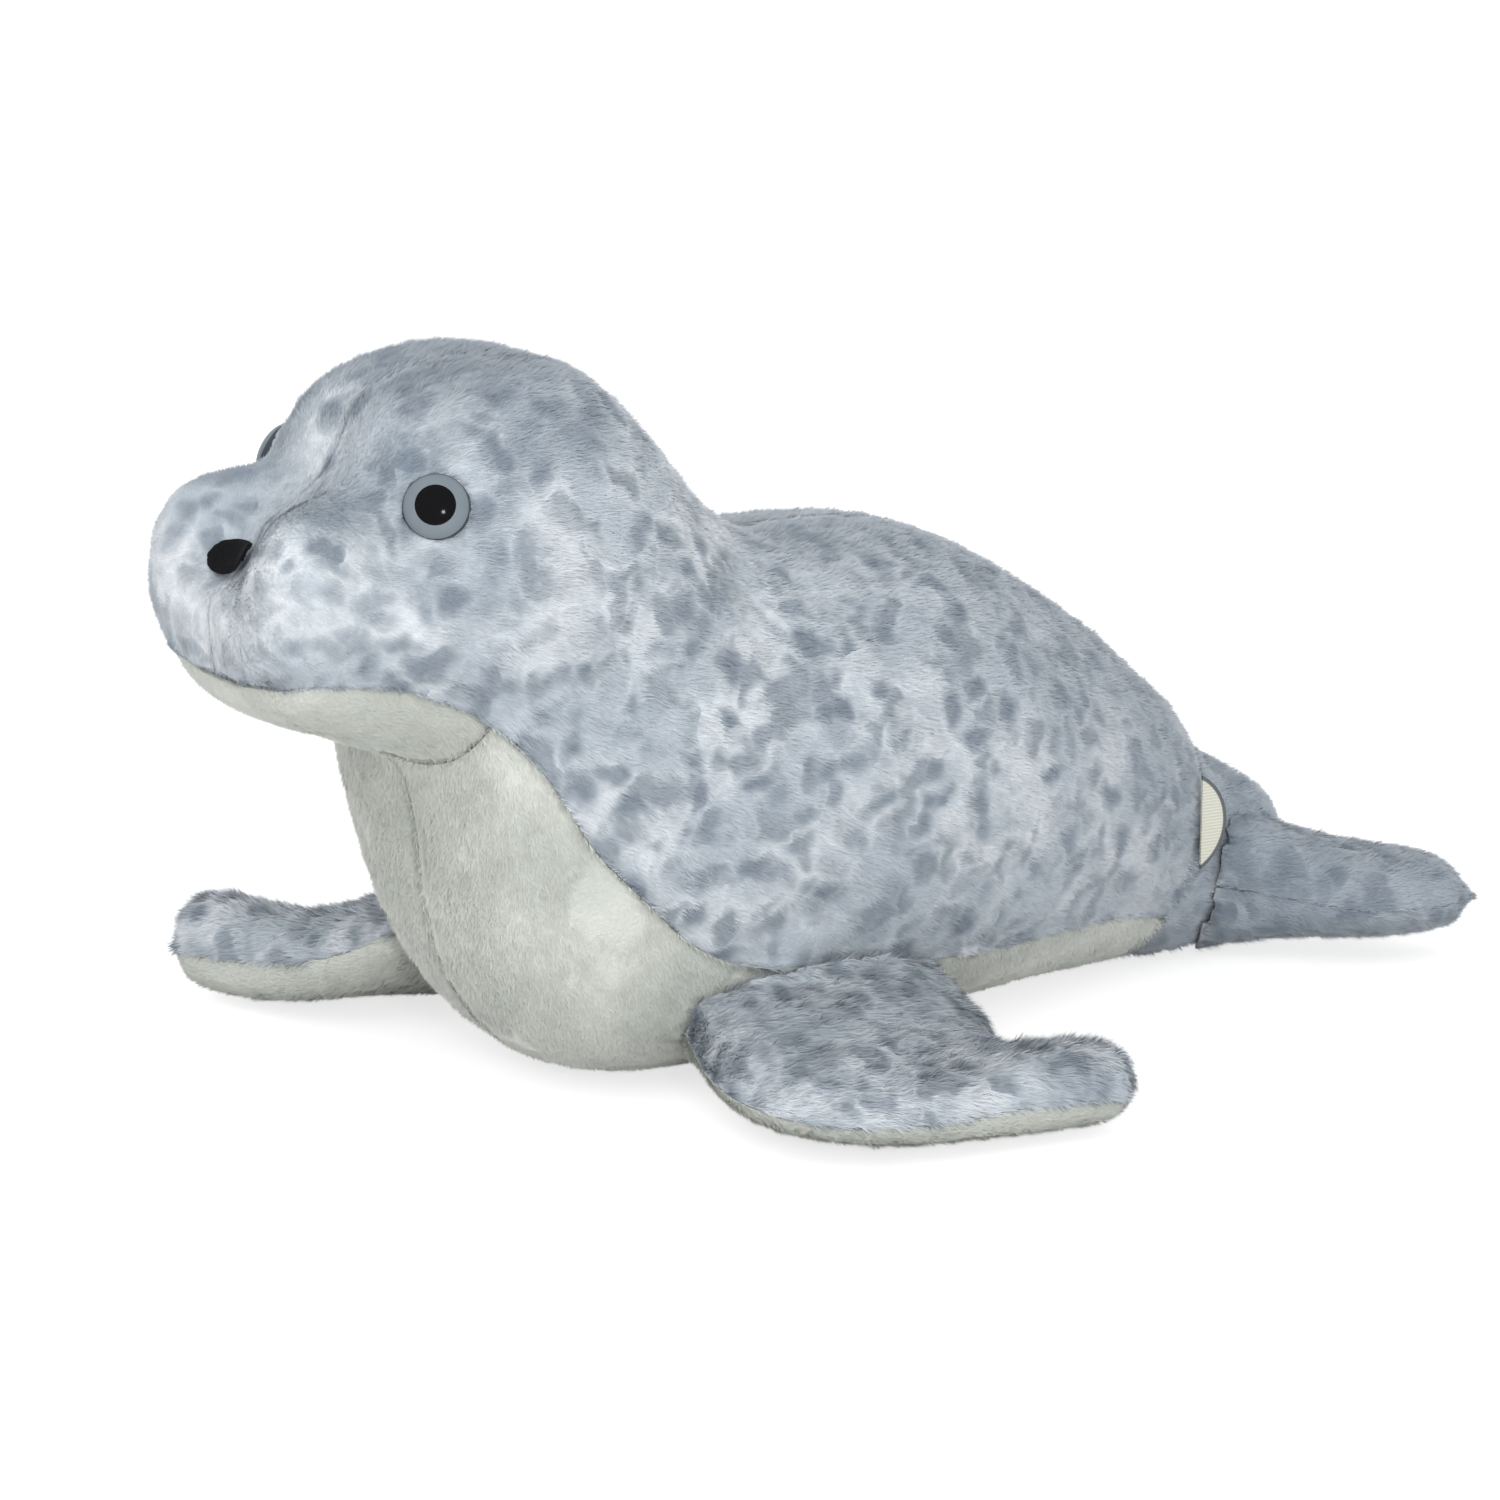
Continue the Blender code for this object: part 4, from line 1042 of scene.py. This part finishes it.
# The label
# A short length of woven ribbon, folded and caught in the seam at the left hip.  Its
# field is left plain, inside a dark woven border.
LABEL_BORDER = 0.0011
BORDER_BLUR = 0.0002
RIB_SCALE = 1 / 0.00045 / 6.28      # of the wave texture: ribs a little under 1 mm apart
RIB_DEPTH = 0.0002
RIBBON_DARK = colour(186, 187, 174)
RIBBON_PALE = colour(203, 203, 191)
RIBBON_BORDER = colour(84, 90, 92)


def label_material():
    """Ribbon: a cream field with a dark border along its cut curve, and its weave."""
    made = bpy.data.materials.new("label_ribbon")
    made.use_nodes = True
    tree = made.node_tree
    shader = tree.nodes["Principled BSDF"]
    low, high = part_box("seam_label")
    half = (high[2] - low[2]) / 2
    reach = high[1] - low[1]
    radius = (half ** 2 + reach ** 2) / (2 * reach)
    where = object_place(tree)
    middle = (0.0, high[1] - radius, (high[2] + low[2]) / 2)
    apart = vectors(tree, "MULTIPLY", vectors(tree, "SUBTRACT", where, middle), (0.0, 1.0, 1.0))
    away = add_node(tree, "ShaderNodeVectorMath", {0: apart}, operation="LENGTH").outputs["Value"]
    inner = radius - LABEL_BORDER
    border = between(tree, away, inner - BORDER_BLUR, inner + BORDER_BLUR)
    ribs = add_node(tree, "ShaderNodeTexWave", {"Vector": where, "Scale": RIB_SCALE},
                    bands_direction="Z").outputs["Fac"]
    woven = blended(tree, ribs, RIBBON_DARK, RIBBON_PALE)
    tree.links.new(blended(tree, border, woven, RIBBON_BORDER), shader.inputs["Base Color"])
    bump = add_node(tree, "ShaderNodeBump", {"Height": ribs, "Strength": 0.5, "Distance": RIB_DEPTH})
    tree.links.new(bump.outputs["Normal"], shader.inputs["Normal"])
    shader.inputs["Roughness"].default_value = 0.6
    return made


dress("seam_label", label_material())

# The floor, the lamps and the camera
# The photo's seamless white ground, under soft round lamps: the key and the fill in
# front, one behind, and a small one that is there to shine in the eyes.
WHITE = (1.0, 1.0, 1.0, 1.0)
FLOOR_GREY = (0.9, 0.9, 0.9, 1.0)
FLOOR_SIZE = 6.0
FLOOR_GLOW = 0.5            # share of the floor that the camera sees as white light
FLOOR_WHITE = 1.45
WORLD_FILL = 0.85           # how strongly the white round about lights the toy
AIM = Vector((-0.0029, -0.0250, 0.0790))
CAMERA_AZIMUTH = 56.0
CAMERA_ELEVATION = 15.0
CAMERA_DISTANCE = 1.3
CAMERA_LENS = 117.0
CAMERA_SENSOR = 36.0


def directly_seen(tree):
    """1 where the camera sees the surface itself, or sees it mirrored or through glass."""
    path = add_node(tree, "ShaderNodeLightPath").outputs
    seen = times(tree, path["Is Camera Ray"], path["Is Glossy Ray"], "MAXIMUM")
    return times(tree, seen, path["Is Transmission Ray"], "MAXIMUM")


def floor():
    """A wide pale floor that fades into the white behind it."""
    mesh = bpy.data.meshes.new("floor")
    half = FLOOR_SIZE / 2
    corners = [(-half, -half, 0), (half, -half, 0), (half, half, 0), (-half, half, 0)]
    mesh.from_pydata(corners, [], [(0, 1, 2, 3)])
    made = linked("floor", mesh)
    material = bpy.data.materials.new("floor")
    material.use_nodes = True
    tree = material.node_tree
    shader = tree.nodes["Principled BSDF"]
    shader.inputs["Base Color"].default_value = FLOOR_GREY
    shader.inputs["Roughness"].default_value = 0.9
    glow = add_node(tree, "ShaderNodeEmission", {"Color": WHITE, "Strength": FLOOR_WHITE})
    share = times(tree, directly_seen(tree), FLOOR_GLOW)
    mix = add_node(tree, "ShaderNodeMixShader", {0: share, 1: shader.outputs[0], 2: glow.outputs[0]})
    tree.links.new(mix.outputs[0], tree.nodes["Material Output"].inputs["Surface"])
    mesh.materials.append(material)


def studio_world():
    """White where the camera sees it, and a softer fill for the object."""
    world = bpy.data.worlds.new("studio")
    bpy.context.scene.world = world
    world.use_nodes = True
    tree = world.node_tree
    background = tree.nodes["Background"]
    background.inputs["Color"].default_value = WHITE
    strength = ranged(tree, directly_seen(tree), WORLD_FILL, 1.0)
    tree.links.new(strength, background.inputs["Strength"])


def lamp(name, azimuth, elevation, distance, size, power, mirrored=False):
    """A round soft box aimed at the object, placed like the camera by two angles."""
    data = bpy.data.lights.new(name, "AREA")
    data.shape = "DISK"
    data.size = size
    data.energy = power
    made = linked(name, data)
    made.visible_glossy = mirrored
    aim(made, azimuth, elevation, distance)


def aim(made, azimuth, elevation, distance):
    """Place something on a sphere round the object's middle, looking at it."""
    turn = math.radians(azimuth)
    rise = math.radians(elevation)
    back = Vector((math.sin(turn) * math.cos(rise), -math.cos(turn) * math.cos(rise), math.sin(rise)))
    made.matrix_world = (Matrix.Translation(AIM + back * distance)
                         @ back.to_track_quat("Z", "Y").to_matrix().to_4x4())


floor()
studio_world()
lamp("key", azimuth=35.0, elevation=42.0, distance=1.6, size=0.9, power=9.6)
lamp("fill", azimuth=75.0, elevation=12.0, distance=1.8, size=0.7, power=5.0)
lamp("back", azimuth=225.0, elevation=50.0, distance=1.8, size=0.9, power=5.5)
lamp("catch", azimuth=64.0, elevation=20.0, distance=1.5, size=0.15, power=3.2, mirrored=True)
camera = linked("camera", bpy.data.cameras.new("camera"))
camera.data.lens = CAMERA_LENS
camera.data.sensor_width = CAMERA_SENSOR
aim(camera, CAMERA_AZIMUTH, CAMERA_ELEVATION, CAMERA_DISTANCE)
bpy.context.scene.camera = camera
bpy.context.scene.view_settings.view_transform = "Standard"
